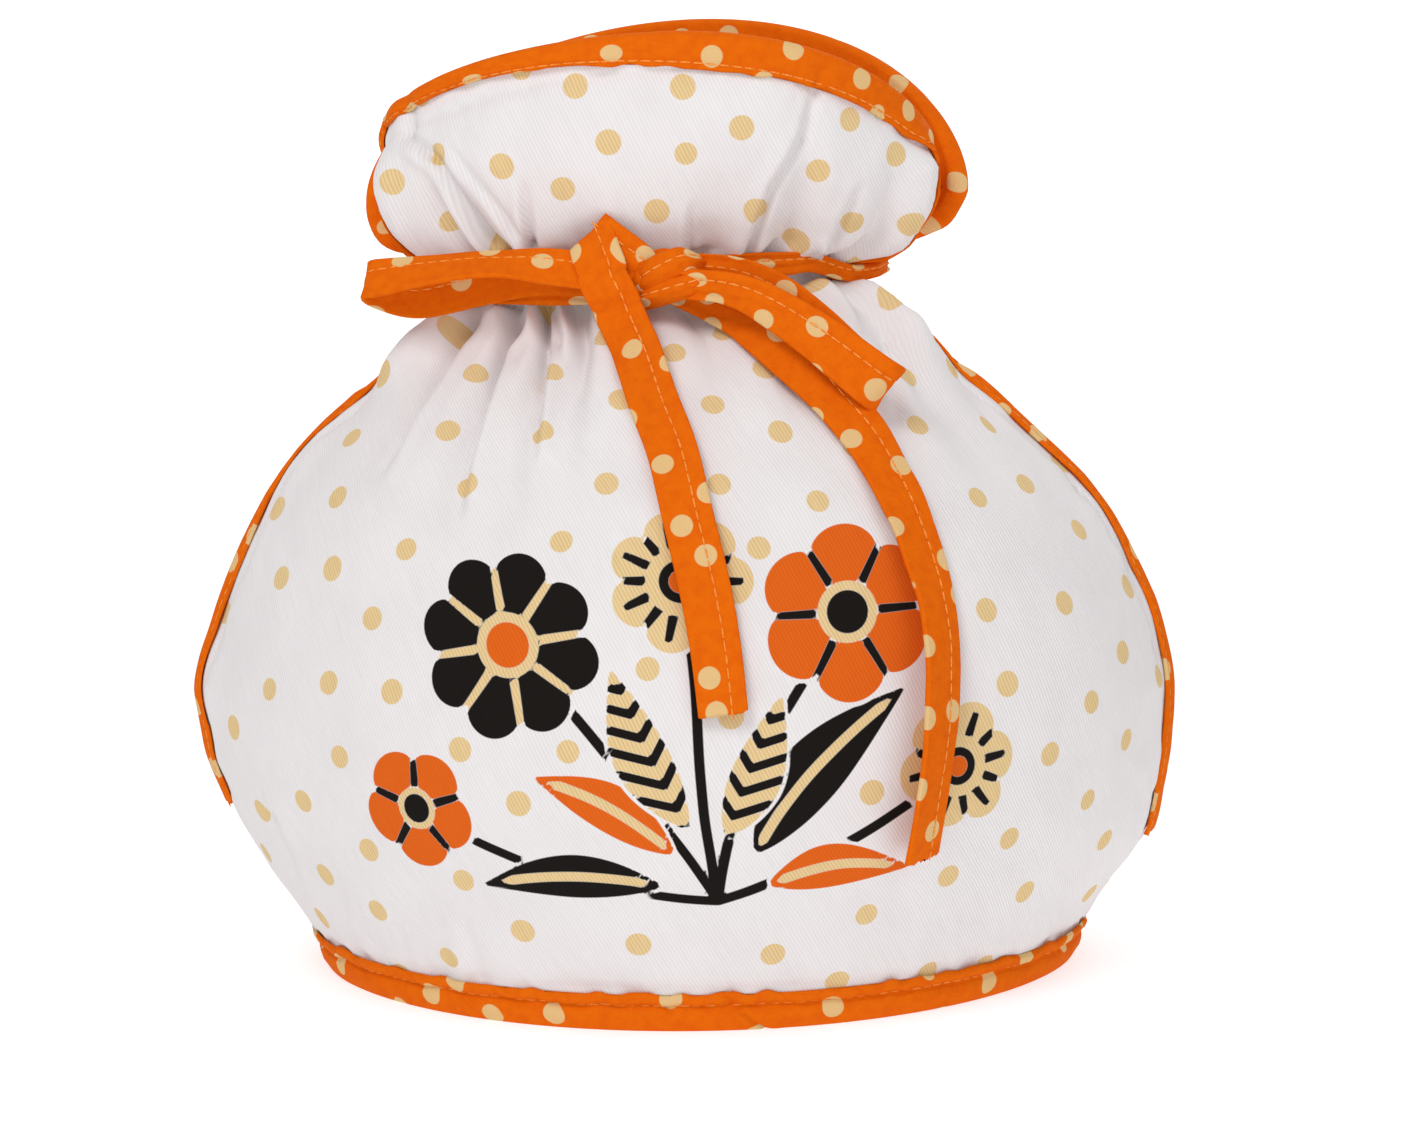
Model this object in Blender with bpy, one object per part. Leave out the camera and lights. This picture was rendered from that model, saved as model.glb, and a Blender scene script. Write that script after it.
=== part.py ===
"""Tea cosy of two wadded cotton panels, bound in spotted tape and tied at the neck.

The front and back panels bend into one oval shell that stands on its bound hem. Each
panel is an upright oval section that changes with height: a hem, a belly, a shoulder,
a gathered neck and a flared ruffle flap. The panels meet in two side seams, and above
each seam they stand apart, which leaves an opening for a spout and one for a handle.
A ribbon is tied round the neck in a bow with two loops and two long tails.

+X is the right side, -Y the front with the bow, +Z up. The hem rests on Z = 0. The
tables are in millimetres and the meshes in metres.
"""

import math
from collections import namedtuple

import bmesh
import bpy
from mathutils import Matrix, Vector

MM = 0.001

# Cloth thicknesses and gaps
WADDED_WALL = 4.4
FLAP_WALL = 2.4
LINING_WALL = 1.2
TAPE_WALL = 0.9
RIBBON_WALL = 1.5
TAPE_GAP = 0.5
LINING_GAP = 0.8
LINING_INSET = 0.6

# Widths
EDGE_TAPE_WIDTH = 7.6
HEM_TAPE_WIDTH = 9.5
BAND_WIDTH = 5.8

# Heights
PANEL_FOOT = 1.4
NECK_HEIGHT = 172.0
NECK_TILT = 0.04
NECK_TILT_REACH = 45.0
LEFT_OPENING_FOOT = 42.0
RIGHT_OPENING_FOOT = 34.5
WALL_THINS_FROM = 150.0

# Plan shape: above 1 the oval draws to a blunt point at each side opening, below 1 it
# curls round squarely, as the ruffle flaps do
BODY_TAPER = 1.15
FLAP_TAPER = 0.92
FLAP_CURLS_BY = 188.0
# The hem lies a little askew, its right end further back
HEM_SKEW = 0.07
HEM_SKEW_ENDS = 70.0

# Gathers: pinched at the neck, open a little way off, then fading
NECK_PINCH = 0.45
PINCH_REACH = 6.0
FOLD_OPENS_BY = 0.18
FOLD_FADING = 1.3
CALM_HEM_FROM = 2.0
CALM_HEM_TO = 28.0

# Steps for the face's slopes, in shares of across and in millimetres of height
ACROSS_STEP = 0.002
HEIGHT_STEP = 0.2

FLAP_ROWS = 7
ARCH_CORNER = math.radians(60.0)
FRONT_COLUMNS = 36
BACK_COLUMNS = 28
TAPE_STEP_ABOVE_FOOT = 1.5
SEAM_SHARE = 0.999
SHARP_ANGLE = math.radians(50.0)

Section = namedtuple("Section", "height centre half_width depth")
Arch = namedtuple("Arch", "base rise lean")
Fold = namedtuple("Fold", "at_neck at_end end_height depth width")
Swell = namedtuple("Swell", "across height push spread_across spread_height")
Panel = namedtuple("Panel", "name side sections arch folds swells columns")
Lying = namedtuple("Lying", "x height proud tilt width")
Free = namedtuple("Free", "x depth height lean tilt width")
Opening = namedtuple("Opening", "share half_gap")

FRONT_SECTIONS = [
    Section(0.0, 2.0, 91.5, 76.0),
    Section(10.0, 1.5, 96.0, 79.0),
    Section(28.0, 1.8, 107.0, 85.5),
    Section(42.0, 1.0, 113.8, 89.5),
    Section(57.0, 0.0, 118.2, 91.5),
    Section(69.0, 0.0, 118.8, 92.0),
    Section(86.0, 0.3, 115.4, 90.0),
    Section(106.0, -0.2, 107.2, 84.5),
    Section(123.5, -0.6, 95.4, 76.0),
    Section(136.0, -2.3, 83.6, 67.5),
    Section(148.0, -3.6, 69.6, 57.0),
    Section(160.0, -4.6, 56.2, 42.5),
    Section(165.0, -7.8, 50.0, 33.5),
    Section(168.5, -9.0, 48.0, 28.8),
    Section(172.0, -10.0, 47.0, 28.0),
    Section(175.5, -9.4, 49.0, 28.2),
    Section(179.0, -8.4, 59.0, 30.5),
    Section(183.0, -7.4, 64.0, 32.0),
    Section(188.0, -7.0, 67.4, 34.0),
    Section(194.0, -7.2, 68.8, 35.5),
    Section(201.0, -7.2, 67.8, 36.6),
    Section(207.0, -7.1, 65.4, 37.2),
    Section(213.0, -7.0, 63.8, 37.6),
    Section(220.0, -6.8, 62.5, 38.0),
    Section(234.0, -6.6, 62.0, 38.5),
]

BACK_SECTIONS = [
    Section(0.0, 2.0, 91.5, 76.0),
    Section(10.0, 1.5, 96.0, 79.0),
    Section(28.0, 1.8, 107.0, 86.0),
    Section(42.0, 1.0, 114.0, 90.5),
    Section(57.0, 0.0, 117.2, 93.0),
    Section(69.0, 0.0, 117.8, 93.5),
    Section(86.0, 0.3, 114.6, 91.5),
    Section(106.0, -0.2, 106.4, 86.0),
    Section(123.5, -0.6, 94.8, 77.0),
    Section(136.0, -2.3, 83.2, 68.0),
    Section(148.0, -3.5, 70.0, 57.5),
    Section(160.0, -5.2, 56.4, 42.0),
    Section(165.0, -8.2, 51.0, 33.0),
    Section(168.5, -9.5, 49.5, 28.3),
    Section(172.0, -10.0, 48.5, 27.5),
    Section(175.5, -8.8, 51.5, 27.8),
    Section(179.0, -7.0, 64.0, 30.0),
    Section(184.0, -5.4, 70.5, 32.5),
    Section(190.0, -4.6, 72.6, 34.0),
    Section(198.0, -4.0, 72.2, 35.2),
    Section(206.0, -3.4, 71.0, 36.0),
    Section(216.0, -3.0, 70.0, 36.6),
    Section(234.0, -3.0, 69.0, 37.0),
]

# Half the gap between the panels' edges, by the share of the way from foot to neck
OPENING_SHAPE = [
    Opening(-0.03, 0.16),
    Opening(0.0, 2.4),
    Opening(0.06, 5.5),
    Opening(0.16, 9.5),
    Opening(0.35, 13.5),
    Opening(0.58, 14.0),
    Opening(0.77, 10.0),
    Opening(0.92, 5.0),
    Opening(1.0, 3.2),
    Opening(1.06, 3.8),
    Opening(1.16, 4.0),
    Opening(1.50, 4.0),
]

FRONT_FOLDS = [
    Fold(-0.86, -0.90, 130.0, 2.6, 0.060),
    Fold(-0.70, -0.66, 118.0, 2.8, 0.055),
    Fold(-0.50, -0.47, 112.0, 4.6, 0.050),
    Fold(-0.385, -0.30, 104.0, 5.4, 0.045),
    Fold(-0.27, -0.21, 108.0, 4.8, 0.042),
    Fold(-0.08, -0.06, 138.0, 2.4, 0.055),
    Fold(0.14, 0.12, 132.0, 2.6, 0.060),
    Fold(0.34, 0.30, 126.0, 3.4, 0.055),
    Fold(0.56, 0.50, 120.0, 3.6, 0.060),
    Fold(0.74, 0.62, 112.0, 4.4, 0.060),
    Fold(0.90, 0.80, 108.0, 3.6, 0.055),
    Fold(-0.80, -0.86, 200.0, 2.4, 0.060),
    Fold(-0.52, -0.66, 216.0, 4.6, 0.045),
    Fold(-0.40, -0.54, 210.0, 3.8, 0.045),
    Fold(-0.16, -0.20, 200.0, 3.0, 0.060),
    Fold(0.12, 0.13, 200.0, 3.6, 0.050),
    Fold(0.32, 0.42, 226.0, 4.8, 0.045),
    Fold(0.64, 0.66, 204.0, 3.6, 0.050),
    Fold(0.86, 0.84, 196.0, 2.2, 0.050),
]

BACK_FOLDS = [
    Fold(-0.84, -0.88, 128.0, 2.6, 0.070),
    Fold(-0.64, -0.58, 112.0, 4.2, 0.065),
    Fold(-0.44, -0.40, 122.0, 3.6, 0.060),
    Fold(-0.24, -0.20, 106.0, 4.8, 0.060),
    Fold(-0.02, -0.05, 130.0, 3.2, 0.065),
    Fold(0.20, 0.16, 110.0, 4.4, 0.060),
    Fold(0.42, 0.36, 118.0, 3.8, 0.060),
    Fold(0.62, 0.58, 126.0, 3.2, 0.065),
    Fold(0.82, 0.80, 112.0, 3.6, 0.065),
    Fold(-0.70, -0.74, 208.0, 3.2, 0.065),
    Fold(-0.46, -0.54, 220.0, 4.2, 0.060),
    Fold(-0.18, -0.22, 204.0, 3.4, 0.060),
    Fold(0.08, 0.12, 218.0, 4.0, 0.060),
    Fold(0.36, 0.42, 206.0, 3.4, 0.060),
    Fold(0.60, 0.68, 214.0, 3.8, 0.060),
]

# Slow bulges and hollows of the wadded cloth
FRONT_SWELLS = [
    Swell(-0.92, 30.0, 1.8, 0.20, 16.0),
    Swell(-0.70, 120.0, 2.0, 0.22, 22.0),
    Swell(-0.15, 60.0, 1.2, 0.35, 34.0),
    Swell(0.45, 30.0, -1.2, 0.25, 18.0),
    Swell(0.86, 154.0, 4.2, 0.12, 9.5),
    Swell(-0.87, 152.0, 3.2, 0.12, 10.0),
    Swell(0.66, 96.0, 1.4, 0.25, 26.0),
    Swell(-0.35, 206.0, 2.0, 0.22, 14.0),
    Swell(0.30, 204.0, 1.4, 0.20, 16.0),
]

BACK_SWELLS = [
    Swell(-0.60, 110.0, 1.8, 0.25, 24.0),
    Swell(0.10, 70.0, 1.4, 0.35, 34.0),
    Swell(0.70, 40.0, -1.2, 0.25, 18.0),
    Swell(0.40, 208.0, 1.8, 0.22, 14.0),
]

FRONT = Panel("front", -1, FRONT_SECTIONS, Arch(194.0, 36.8, 3.5),
              FRONT_FOLDS, FRONT_SWELLS, FRONT_COLUMNS)
BACK = Panel("back", 1, BACK_SECTIONS, Arch(190.0, 39.4, 6.5),
             BACK_FOLDS, BACK_SWELLS, BACK_COLUMNS)

BODY_ROWS = [HEM_TAPE_WIDTH, 22.0, 38.5, 54.0, 67.0, 80.0, 93.0, 105.0, 116.0,
             127.0, 137.0, 146.0, 154.0, 161.0, 166.5]

# The tails hang down the front panel, so many millimetres in front of its plain face
SHORT_TAIL = [
    Lying(-22.6, 185.4, 5.0, 0.0, 9.0),
    Lying(-20.6, 181.0, 9.0, 0.0, 12.0),
    Lying(-16.5, 172.0, 15.5, 0.0, 12.0),
    Lying(-11.5, 160.0, 6.4, 0.0, 12.0),
    Lying(-7.6, 148.0, 3.4, 0.0, 12.0),
    Lying(-3.2, 137.0, 3.0, 0.0, 12.0),
    Lying(0.5, 122.5, 2.6, 0.0, 12.0),
    Lying(4.1, 108.0, 2.6, 0.0, 12.0),
    Lying(6.7, 93.8, 2.8, 0.0, 11.8),
    Lying(8.4, 79.1, 3.2, 4.0, 11.6),
]

LONG_TAIL = [
    Lying(-6.0, 173.0, 8.0, 0.0, 8.0),
    Lying(2.0, 168.8, 9.0, 0.0, 8.5),
    Lying(11.5, 164.0, 8.8, 0.0, 10.0),
    Lying(21.7, 156.5, 7.0, 0.0, 12.0),
    Lying(31.0, 148.5, 4.8, 0.0, 12.0),
    Lying(41.0, 138.0, 3.4, 0.0, 12.0),
    Lying(47.0, 128.5, 3.2, -4.0, 12.0),
    Lying(51.8, 118.0, 3.4, -8.0, 12.0),
    Lying(55.4, 106.0, 4.2, -14.0, 12.0),
    Lying(57.0, 93.5, 5.6, -20.0, 12.0),
    Lying(56.8, 80.0, 6.2, -24.0, 12.0),
    Lying(55.8, 68.3, 6.4, -26.0, 12.0),
    Lying(54.4, 56.0, 6.0, -26.0, 12.0),
    Lying(52.8, 42.7, 5.4, -24.0, 12.0),
]

# The loops stand free of the cloth, so deep in front of the middle. Lean is how far the
# ribbon's width leans to the right from upright, tilt its turn about its own run.
LEFT_LOOP = [
    Free(-8.0, 39.0, 174.0, 0.0, 0.0, 9.0),
    Free(-26.0, 39.0, 175.6, -4.0, 14.0, 11.0),
    Free(-44.0, 37.0, 176.0, 2.0, 28.0, 12.0),
    Free(-61.0, 33.0, 174.4, 8.0, 22.0, 12.0),
    Free(-72.0, 29.4, 171.8, 10.0, 8.0, 12.0),
    Free(-75.6, 26.4, 170.2, 10.0, 0.0, 12.0),
    Free(-72.0, 23.4, 168.6, 6.0, -4.0, 12.0),
    Free(-62.0, 23.4, 167.4, 0.0, -8.0, 12.0),
    Free(-50.0, 26.0, 168.6, -4.0, -8.0, 12.0),
    Free(-36.0, 30.0, 170.8, -4.0, -6.0, 11.0),
    Free(-22.0, 33.0, 171.4, 0.0, -4.0, 9.5),
    Free(-8.0, 34.4, 172.0, 0.0, 0.0, 8.0),
]

RIGHT_LOOP = [
    Free(-6.0, 41.0, 174.0, 0.0, 0.0, 8.0),
    Free(2.0, 43.6, 172.9, 4.0, 0.0, 7.4),
    Free(8.0, 46.0, 172.6, 10.0, 4.0, 7.6),
    Free(14.5, 48.6, 171.0, 22.0, 6.0, 8.8),
    Free(21.5, 51.0, 167.6, 30.0, 4.0, 10.0),
    Free(29.5, 53.4, 162.6, 34.0, 0.0, 11.0),
    Free(37.0, 55.2, 157.2, 37.0, 0.0, 12.0),
    Free(44.0, 56.0, 151.8, 39.0, 0.0, 12.8),
    Free(47.2, 53.2, 149.4, 39.0, 0.0, 13.0),
    Free(44.4, 50.4, 152.2, 39.0, 0.0, 12.8),
    Free(37.6, 48.8, 158.8, 38.0, 0.0, 12.4),
    Free(29.5, 46.4, 165.2, 35.0, 0.0, 12.0),
    Free(20.5, 42.8, 171.0, 26.0, 0.0, 11.0),
    Free(10.0, 39.0, 174.6, 12.0, 0.0, 9.5),
    Free(-4.0, 36.4, 175.4, 0.0, 0.0, 8.5),
]

KNOT_CENTRE = (-7.2, -38.4, 174.6)
KNOT_SIZE = (17.0, 11.5, 15.0)
KNOT_LEAN = math.radians(-28.0)
KNOT_CORNER = 0.82
KNOT_WAIST = 0.14
KNOT_WAIST_TURNS = 7.0

BAND_CLEARANCE = 4.5
BAND_SIDE_CLEARANCE = 2.8
BAND_DROP = 1.6
BAND_WALL = 2.2
BAND_CHAMFER = 0.8
BAND_COLUMNS = 18
ROUTE_STEP = 5.5

# Colour, roughness, metallic
FINISHES = {
    "white_cotton": ((0.83, 0.78, 0.78, 1.0), 0.9, 0.0),
    "orange_cotton": ((0.80, 0.17, 0.005, 1.0), 0.85, 0.0),
}


def clear_scene():
    """Remove whatever the scene holds."""
    for item in list(bpy.data.objects):
        bpy.data.objects.remove(item, do_unlink=True)


def smooth_between(table, place, column, at):
    """Smooth value of a table's column at a place, without overshoot between rows."""
    places = [getattr(row, place) for row in table]
    values = [getattr(row, column) for row in table]
    if at <= places[0]:
        return values[0]
    if at >= places[-1]:
        return values[-1]
    index = next(i for i in range(len(places) - 1) if at <= places[i + 1])
    span = places[index + 1] - places[index]
    share = (at - places[index]) / span
    start = row_slope(places, values, index)
    end = row_slope(places, values, index + 1)
    square = share * share
    cube = square * share
    return (values[index] * (2 * cube - 3 * square + 1)
            + span * start * (cube - 2 * square + share)
            + values[index + 1] * (3 * square - 2 * cube)
            + span * end * (cube - square))


def row_slope(places, values, index):
    """Slope at a row: the harmonic mean of its neighbours' slopes, or 0 at a turn."""
    if index in (0, len(places) - 1):
        other = 1 if index == 0 else index - 1
        return (values[other] - values[index]) / (places[other] - places[index])
    before = (values[index] - values[index - 1]) / (places[index] - places[index - 1])
    after = (values[index + 1] - values[index]) / (places[index + 1] - places[index])
    if before * after <= 0.0:
        return 0.0
    return 2.0 * before * after / (before + after)


def smooth_step(value):
    """0 below 0, 1 above 1 and an even rise between."""
    value = min(1.0, max(0.0, value))
    return value * value * (3.0 - 2.0 * value)


def half_gap(across, height):
    """Half the distance between the panels' edges on the side that across points to."""
    foot = RIGHT_OPENING_FOOT if across > 0.0 else LEFT_OPENING_FOOT
    share = (height - foot) / (NECK_HEIGHT - foot)
    return smooth_between(OPENING_SHAPE, "share", "half_gap", share)


def plan_taper(height):
    """Power that shapes the oval's plan at a height."""
    curl = smooth_step((height - NECK_HEIGHT) / (FLAP_CURLS_BY - NECK_HEIGHT))
    return BODY_TAPER + (FLAP_TAPER - BODY_TAPER) * curl


def edge_turn(panel, across, height):
    """Angle of the panel's side edge round its oval section."""
    depth = smooth_between(panel.sections, "height", "depth", height)
    gap = half_gap(across, height)
    return math.acos((gap / depth) ** (1.0 / plan_taper(height)))


def bare_point(panel, across, height):
    """Point of the panel's unfolded face; across is -1 at the left edge, 1 at the right."""
    centre = smooth_between(panel.sections, "height", "centre", height)
    half_width = smooth_between(panel.sections, "height", "half_width", height)
    depth = smooth_between(panel.sections, "height", "depth", height)
    end = edge_turn(panel, across, height)
    turn = across * end
    x = centre + half_width * math.sin(turn) / math.sin(end)
    plan = math.copysign(abs(math.cos(turn)) ** plan_taper(height), math.cos(turn))
    skew = HEM_SKEW * (1.0 - smooth_step(height / HEM_SKEW_ENDS))
    tilt = NECK_TILT * (1.0 - smooth_step(abs(height - NECK_HEIGHT) / NECK_TILT_REACH))
    return Vector((x, panel.side * depth * plan + skew * x, height + tilt * x))


def face_steps(panel, across, height):
    """How the unfolded face moves with across and with height."""
    sideways = (bare_point(panel, across + ACROSS_STEP, height)
                - bare_point(panel, across - ACROSS_STEP, height)) / (2.0 * ACROSS_STEP)
    upwards = (bare_point(panel, across, height + HEIGHT_STEP)
               - bare_point(panel, across, height - HEIGHT_STEP)) / (2.0 * HEIGHT_STEP)
    return sideways, upwards


def face_normal(panel, across, height):
    """Outward direction of the panel's unfolded face."""
    sideways, upwards = face_steps(panel, across, height)
    return (sideways.cross(upwards) * -panel.side).normalized()


def fold_strength(fold, height):
    """Share of a fold's depth at a height: it opens next to the neck and fades away."""
    along = (height - NECK_HEIGHT) / (fold.end_height - NECK_HEIGHT)
    if along >= 1.0:
        return 0.0
    if along < 0.0:
        past = abs(height - NECK_HEIGHT) / PINCH_REACH
        return NECK_PINCH * math.exp(-past * past)
    opening = NECK_PINCH + (1.0 - NECK_PINCH) * smooth_step(along / FOLD_OPENS_BY)
    return opening * (1.0 - along) ** FOLD_FADING


def cloth_relief(panel, across, height):
    """How far folds and swells move the cloth outwards at a place."""
    relief = 0.0
    for fold in panel.folds:
        strength = fold_strength(fold, height)
        if strength == 0.0:
            continue
        along = (height - NECK_HEIGHT) / (fold.end_height - NECK_HEIGHT)
        middle = fold.at_neck + (fold.at_end - fold.at_neck) * max(0.0, along)
        off = (across - middle) / fold.width
        relief -= strength * fold.depth * (1.0 - 0.5 * off * off) * math.exp(-0.5 * off * off)
    for swell in panel.swells:
        off_across = (across - swell.across) / swell.spread_across
        off_height = (height - swell.height) / swell.spread_height
        relief += swell.push * math.exp(-off_across * off_across - off_height * off_height)
    calm_hem = smooth_step((height - CALM_HEM_FROM) / (CALM_HEM_TO - CALM_HEM_FROM))
    return relief * calm_hem


def cloth_point(panel, across, height, proud=0.0):
    """Point so far proud of the folded cloth's outer face."""
    lift = cloth_relief(panel, across, height) + proud
    return bare_point(panel, across, height) + face_normal(panel, across, height) * lift


def wall(height):
    """Thickness of the panel: wadded in the body, thin in the ruffle flap."""
    share = smooth_step((height - WALL_THINS_FROM) / (NECK_HEIGHT - WALL_THINS_FROM))
    return WADDED_WALL + (FLAP_WALL - WADDED_WALL) * share


def across_at(panel, x, height):
    """The across value of a given x at a height."""
    centre = smooth_between(panel.sections, "height", "centre", height)
    half_width = smooth_between(panel.sections, "height", "half_width", height)
    end = edge_turn(panel, x - centre, height)
    sine = (x - centre) / half_width * math.sin(end)
    return math.asin(min(1.0, max(-1.0, sine))) / end


def tape_share(panel, side, height, width):
    """Across distance that a tape of a given width covers at a side edge."""
    sideways, _ = face_steps(panel, side, height)
    return width / sideways.length


def arch_place(panel, angle):
    """(across, height) on the flap's arched top edge; angle is 0 at its middle."""
    base = panel.arch.base
    centre = smooth_between(panel.sections, "height", "centre", base)
    half_width = smooth_between(panel.sections, "height", "half_width", base)
    rise = panel.arch.rise + panel.arch.lean * math.sin(angle)
    height = base + rise * math.cos(angle)
    return across_at(panel, centre + half_width * math.sin(angle), height), height


def side_place(panel, side, share):
    """(across, height) on a flap's side edge, from the neck up to the arch's corner."""
    corner = arch_place(panel, side * ARCH_CORNER)[1]
    height = NECK_HEIGHT + (corner - NECK_HEIGHT) * share
    if height <= panel.arch.base:
        return float(side), height
    rise = panel.arch.rise + panel.arch.lean * side * math.sin(ARCH_CORNER)
    angle = side * math.acos(min(1.0, (height - panel.arch.base) / rise))
    half_width = smooth_between(panel.sections, "height", "half_width", panel.arch.base)
    centre = smooth_between(panel.sections, "height", "centre", panel.arch.base)
    return across_at(panel, centre + half_width * math.sin(angle), height), height


def flap_outline(panel):
    """(across, height) stations round the flap: up the left, over the top, down the right."""
    left = [side_place(panel, -1, row / FLAP_ROWS) for row in range(FLAP_ROWS)]
    turns = [-ARCH_CORNER + 2.0 * ARCH_CORNER * i / panel.columns
             for i in range(panel.columns + 1)]
    top = [arch_place(panel, turn) for turn in turns]
    right = [side_place(panel, 1, row / FLAP_ROWS) for row in reversed(range(FLAP_ROWS))]
    return left + top + right


def step_inwards(panel, stations, index, width):
    """The station's place moved inwards over the cloth by a tape's width."""
    across, height = stations[index]
    if index in (0, len(stations) - 1):
        side = -1.0 if index == 0 else 1.0
        return across - side * tape_share(panel, side, height, width), height
    before = bare_point(panel, *stations[index - 1])
    after = bare_point(panel, *stations[index + 1])
    run = (after - before).normalized()
    inwards = run.cross(face_normal(panel, across, height)) * -panel.side
    inwards = inwards.normalized() * width
    sideways, upwards = face_steps(panel, across, height)
    aa, ab, bb = sideways.dot(sideways), sideways.dot(upwards), upwards.dot(upwards)
    ra, rb = sideways.dot(inwards), upwards.dot(inwards)
    share = aa * bb - ab * ab
    return across + (ra * bb - rb * ab) / share, height + (rb * aa - ra * ab) / share


def flap_inset(panel, width):
    """The flap's outline moved inwards by a width."""
    stations = flap_outline(panel)
    return [step_inwards(panel, stations, i, width) for i in range(len(stations))]


def blend_patch(bottom, left, top, right):
    """Grid of places between four edges that share their corners."""
    rows = len(left) - 1
    columns = len(bottom) - 1
    grid = []
    for j in range(rows + 1):
        up = j / rows
        line = []
        for i in range(columns + 1):
            over = i / columns
            place = []
            for k in range(2):
                edges = ((1 - up) * bottom[i][k] + up * top[i][k]
                         + (1 - over) * left[j][k] + over * right[j][k])
                corners = ((1 - over) * ((1 - up) * bottom[0][k] + up * top[0][k])
                           + over * ((1 - up) * bottom[-1][k] + up * top[-1][k]))
                place.append(edges - corners)
            line.append(tuple(place))
        grid.append(line)
    return grid


def neck_row(panel, width):
    """Places along the neck between the two edge tapes."""
    left = -1.0 + tape_share(panel, -1.0, NECK_HEIGHT, width)
    right = 1.0 - tape_share(panel, 1.0, NECK_HEIGHT, width)
    count = panel.columns
    return [(left + (right - left) * i / count, NECK_HEIGHT) for i in range(count + 1)]


def flap_patch(panel, width):
    """Grid of places inside the flap's edge tape, neck row first."""
    inset = flap_inset(panel, width)
    bottom = neck_row(panel, width)
    left = [bottom[0]] + inset[1:FLAP_ROWS + 1]
    top = inset[FLAP_ROWS:FLAP_ROWS + panel.columns + 1]
    right = [bottom[-1]] + list(reversed(inset[FLAP_ROWS + panel.columns:-1]))
    return blend_patch(bottom, left, top, right)


class Sheet:
    """Flat net of (across, height) places and triangles, later given two faces."""

    def __init__(self):
        self.places = []
        self.index = {}
        self.triangles = []

    def place(self, place):
        """Number of a place, shared by all who name it."""
        key = (round(place[0], 6), round(place[1], 5))
        if key not in self.index:
            self.index[key] = len(self.places)
            self.places.append(place)
        return self.index[key]

    def quad(self, a, b, c, d):
        """Two triangles, split from a to c."""
        a, b, c, d = (self.place(p) for p in (a, b, c, d))
        self.triangles.append((a, b, c))
        self.triangles.append((a, c, d))

    def grid(self, rows):
        """Quads between each row and the next."""
        for lower, upper in zip(rows, rows[1:]):
            for i in range(len(lower) - 1):
                self.quad(lower[i], lower[i + 1], upper[i + 1], upper[i])

    def solid(self, name, outer, inner, finish):
        """Close the net between an outer and an inner face."""
        count = len(self.places)
        points = [outer(*p) for p in self.places] + [inner(*p) for p in self.places]
        faces = []
        edges = {}
        for a, b, c in self.triangles:
            faces.append((a, b, c))
            faces.append((c + count, b + count, a + count))
            for edge in ((a, b), (b, c), (c, a)):
                edges[edge] = edges.get(edge, 0) + 1
        for a, b in edges:
            if (b, a) not in edges:
                faces.append((b, a, a + count))
                faces.append((b, a + count, b + count))
        return make_object(name, points, faces, finish)


def make_object(name, points, faces, finish):
    """Mesh object in metres from points in millimetres, with its material."""
    mesh = bpy.data.meshes.new(name)
    mesh.from_pydata([Vector(p) * MM for p in points], [], faces)
    face_outwards(mesh)
    mesh.shade_smooth()
    mesh.set_sharp_from_angle(angle=SHARP_ANGLE)
    item = bpy.data.objects.new(name, mesh)
    bpy.context.scene.collection.objects.link(item)
    item.data.materials.append(make_material(name, finish))
    return item


def face_outwards(mesh):
    """Turn every face of a closed mesh outwards."""
    shape = bmesh.new()
    shape.from_mesh(mesh)
    bmesh.ops.recalc_face_normals(shape, faces=shape.faces)
    shape.to_mesh(mesh)
    shape.free()


def make_material(name, finish):
    """Principled material of a named finish for one piece."""
    colour, roughness, metallic = FINISHES[finish]
    material = bpy.data.materials.new(name)
    material.use_nodes = True
    shader = material.node_tree.nodes["Principled BSDF"]
    shader.inputs["Base Color"].default_value = colour
    shader.inputs["Roughness"].default_value = roughness
    shader.inputs["Metallic"].default_value = metallic
    material.diffuse_color = colour
    return material


def body_row(panel, height):
    """Places across the body at a height, one tape's width in from each edge."""
    left = -1.0 + tape_share(panel, -1.0, height, EDGE_TAPE_WIDTH)
    right = 1.0 - tape_share(panel, 1.0, height, EDGE_TAPE_WIDTH)
    count = panel.columns
    middle = [(left + (right - left) * i / count, height) for i in range(count + 1)]
    return [(-1.0, height)] + middle + [(1.0, height)]


def body_heights():
    """Heights of the body's rows, with one at the foot of each opening's tape."""
    feet = [LEFT_OPENING_FOOT, RIGHT_OPENING_FOOT]
    return [PANEL_FOOT] + sorted(BODY_ROWS + feet) + [NECK_HEIGHT]


def build_panel(panel):
    """Wadded panel: its body rows, its ruffle flap and the strip under the edge tape."""
    net = Sheet()
    rows = [body_row(panel, height) for height in body_heights()]
    net.grid([row[1:-1] for row in rows])
    net.grid(flap_patch(panel, EDGE_TAPE_WIDTH))
    left = [(row[0], row[1]) for row in rows]
    right = [(row[-1], row[-2]) for row in reversed(rows)]
    flap = list(zip(flap_outline(panel), flap_inset(panel, EDGE_TAPE_WIDTH)))
    for path in (left, flap, right):
        for (edge, inner), (next_edge, next_inner) in zip(path, path[1:]):
            net.quad(inner, next_inner, next_edge, edge)

    def outer(across, height):
        return cloth_point(panel, across, height)

    def inner(across, height):
        return cloth_point(panel, across, height, -wall(height))

    return net.solid(panel.name + "_panel", outer, inner, "white_cotton")


def drawn_in(grid, share):
    """The grid with its rim moved towards the next places by a share of the step."""
    def towards(a, b):
        return tuple(p + (q - p) * share for p, q in zip(a, b))

    rows = [list(row) for row in grid]
    rows[-1] = [towards(a, b) for a, b in zip(grid[-1], grid[-2])]
    for row in rows:
        row[0] = towards(row[0], row[1])
        row[-1] = towards(row[-1], row[-2])
    return rows


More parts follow.
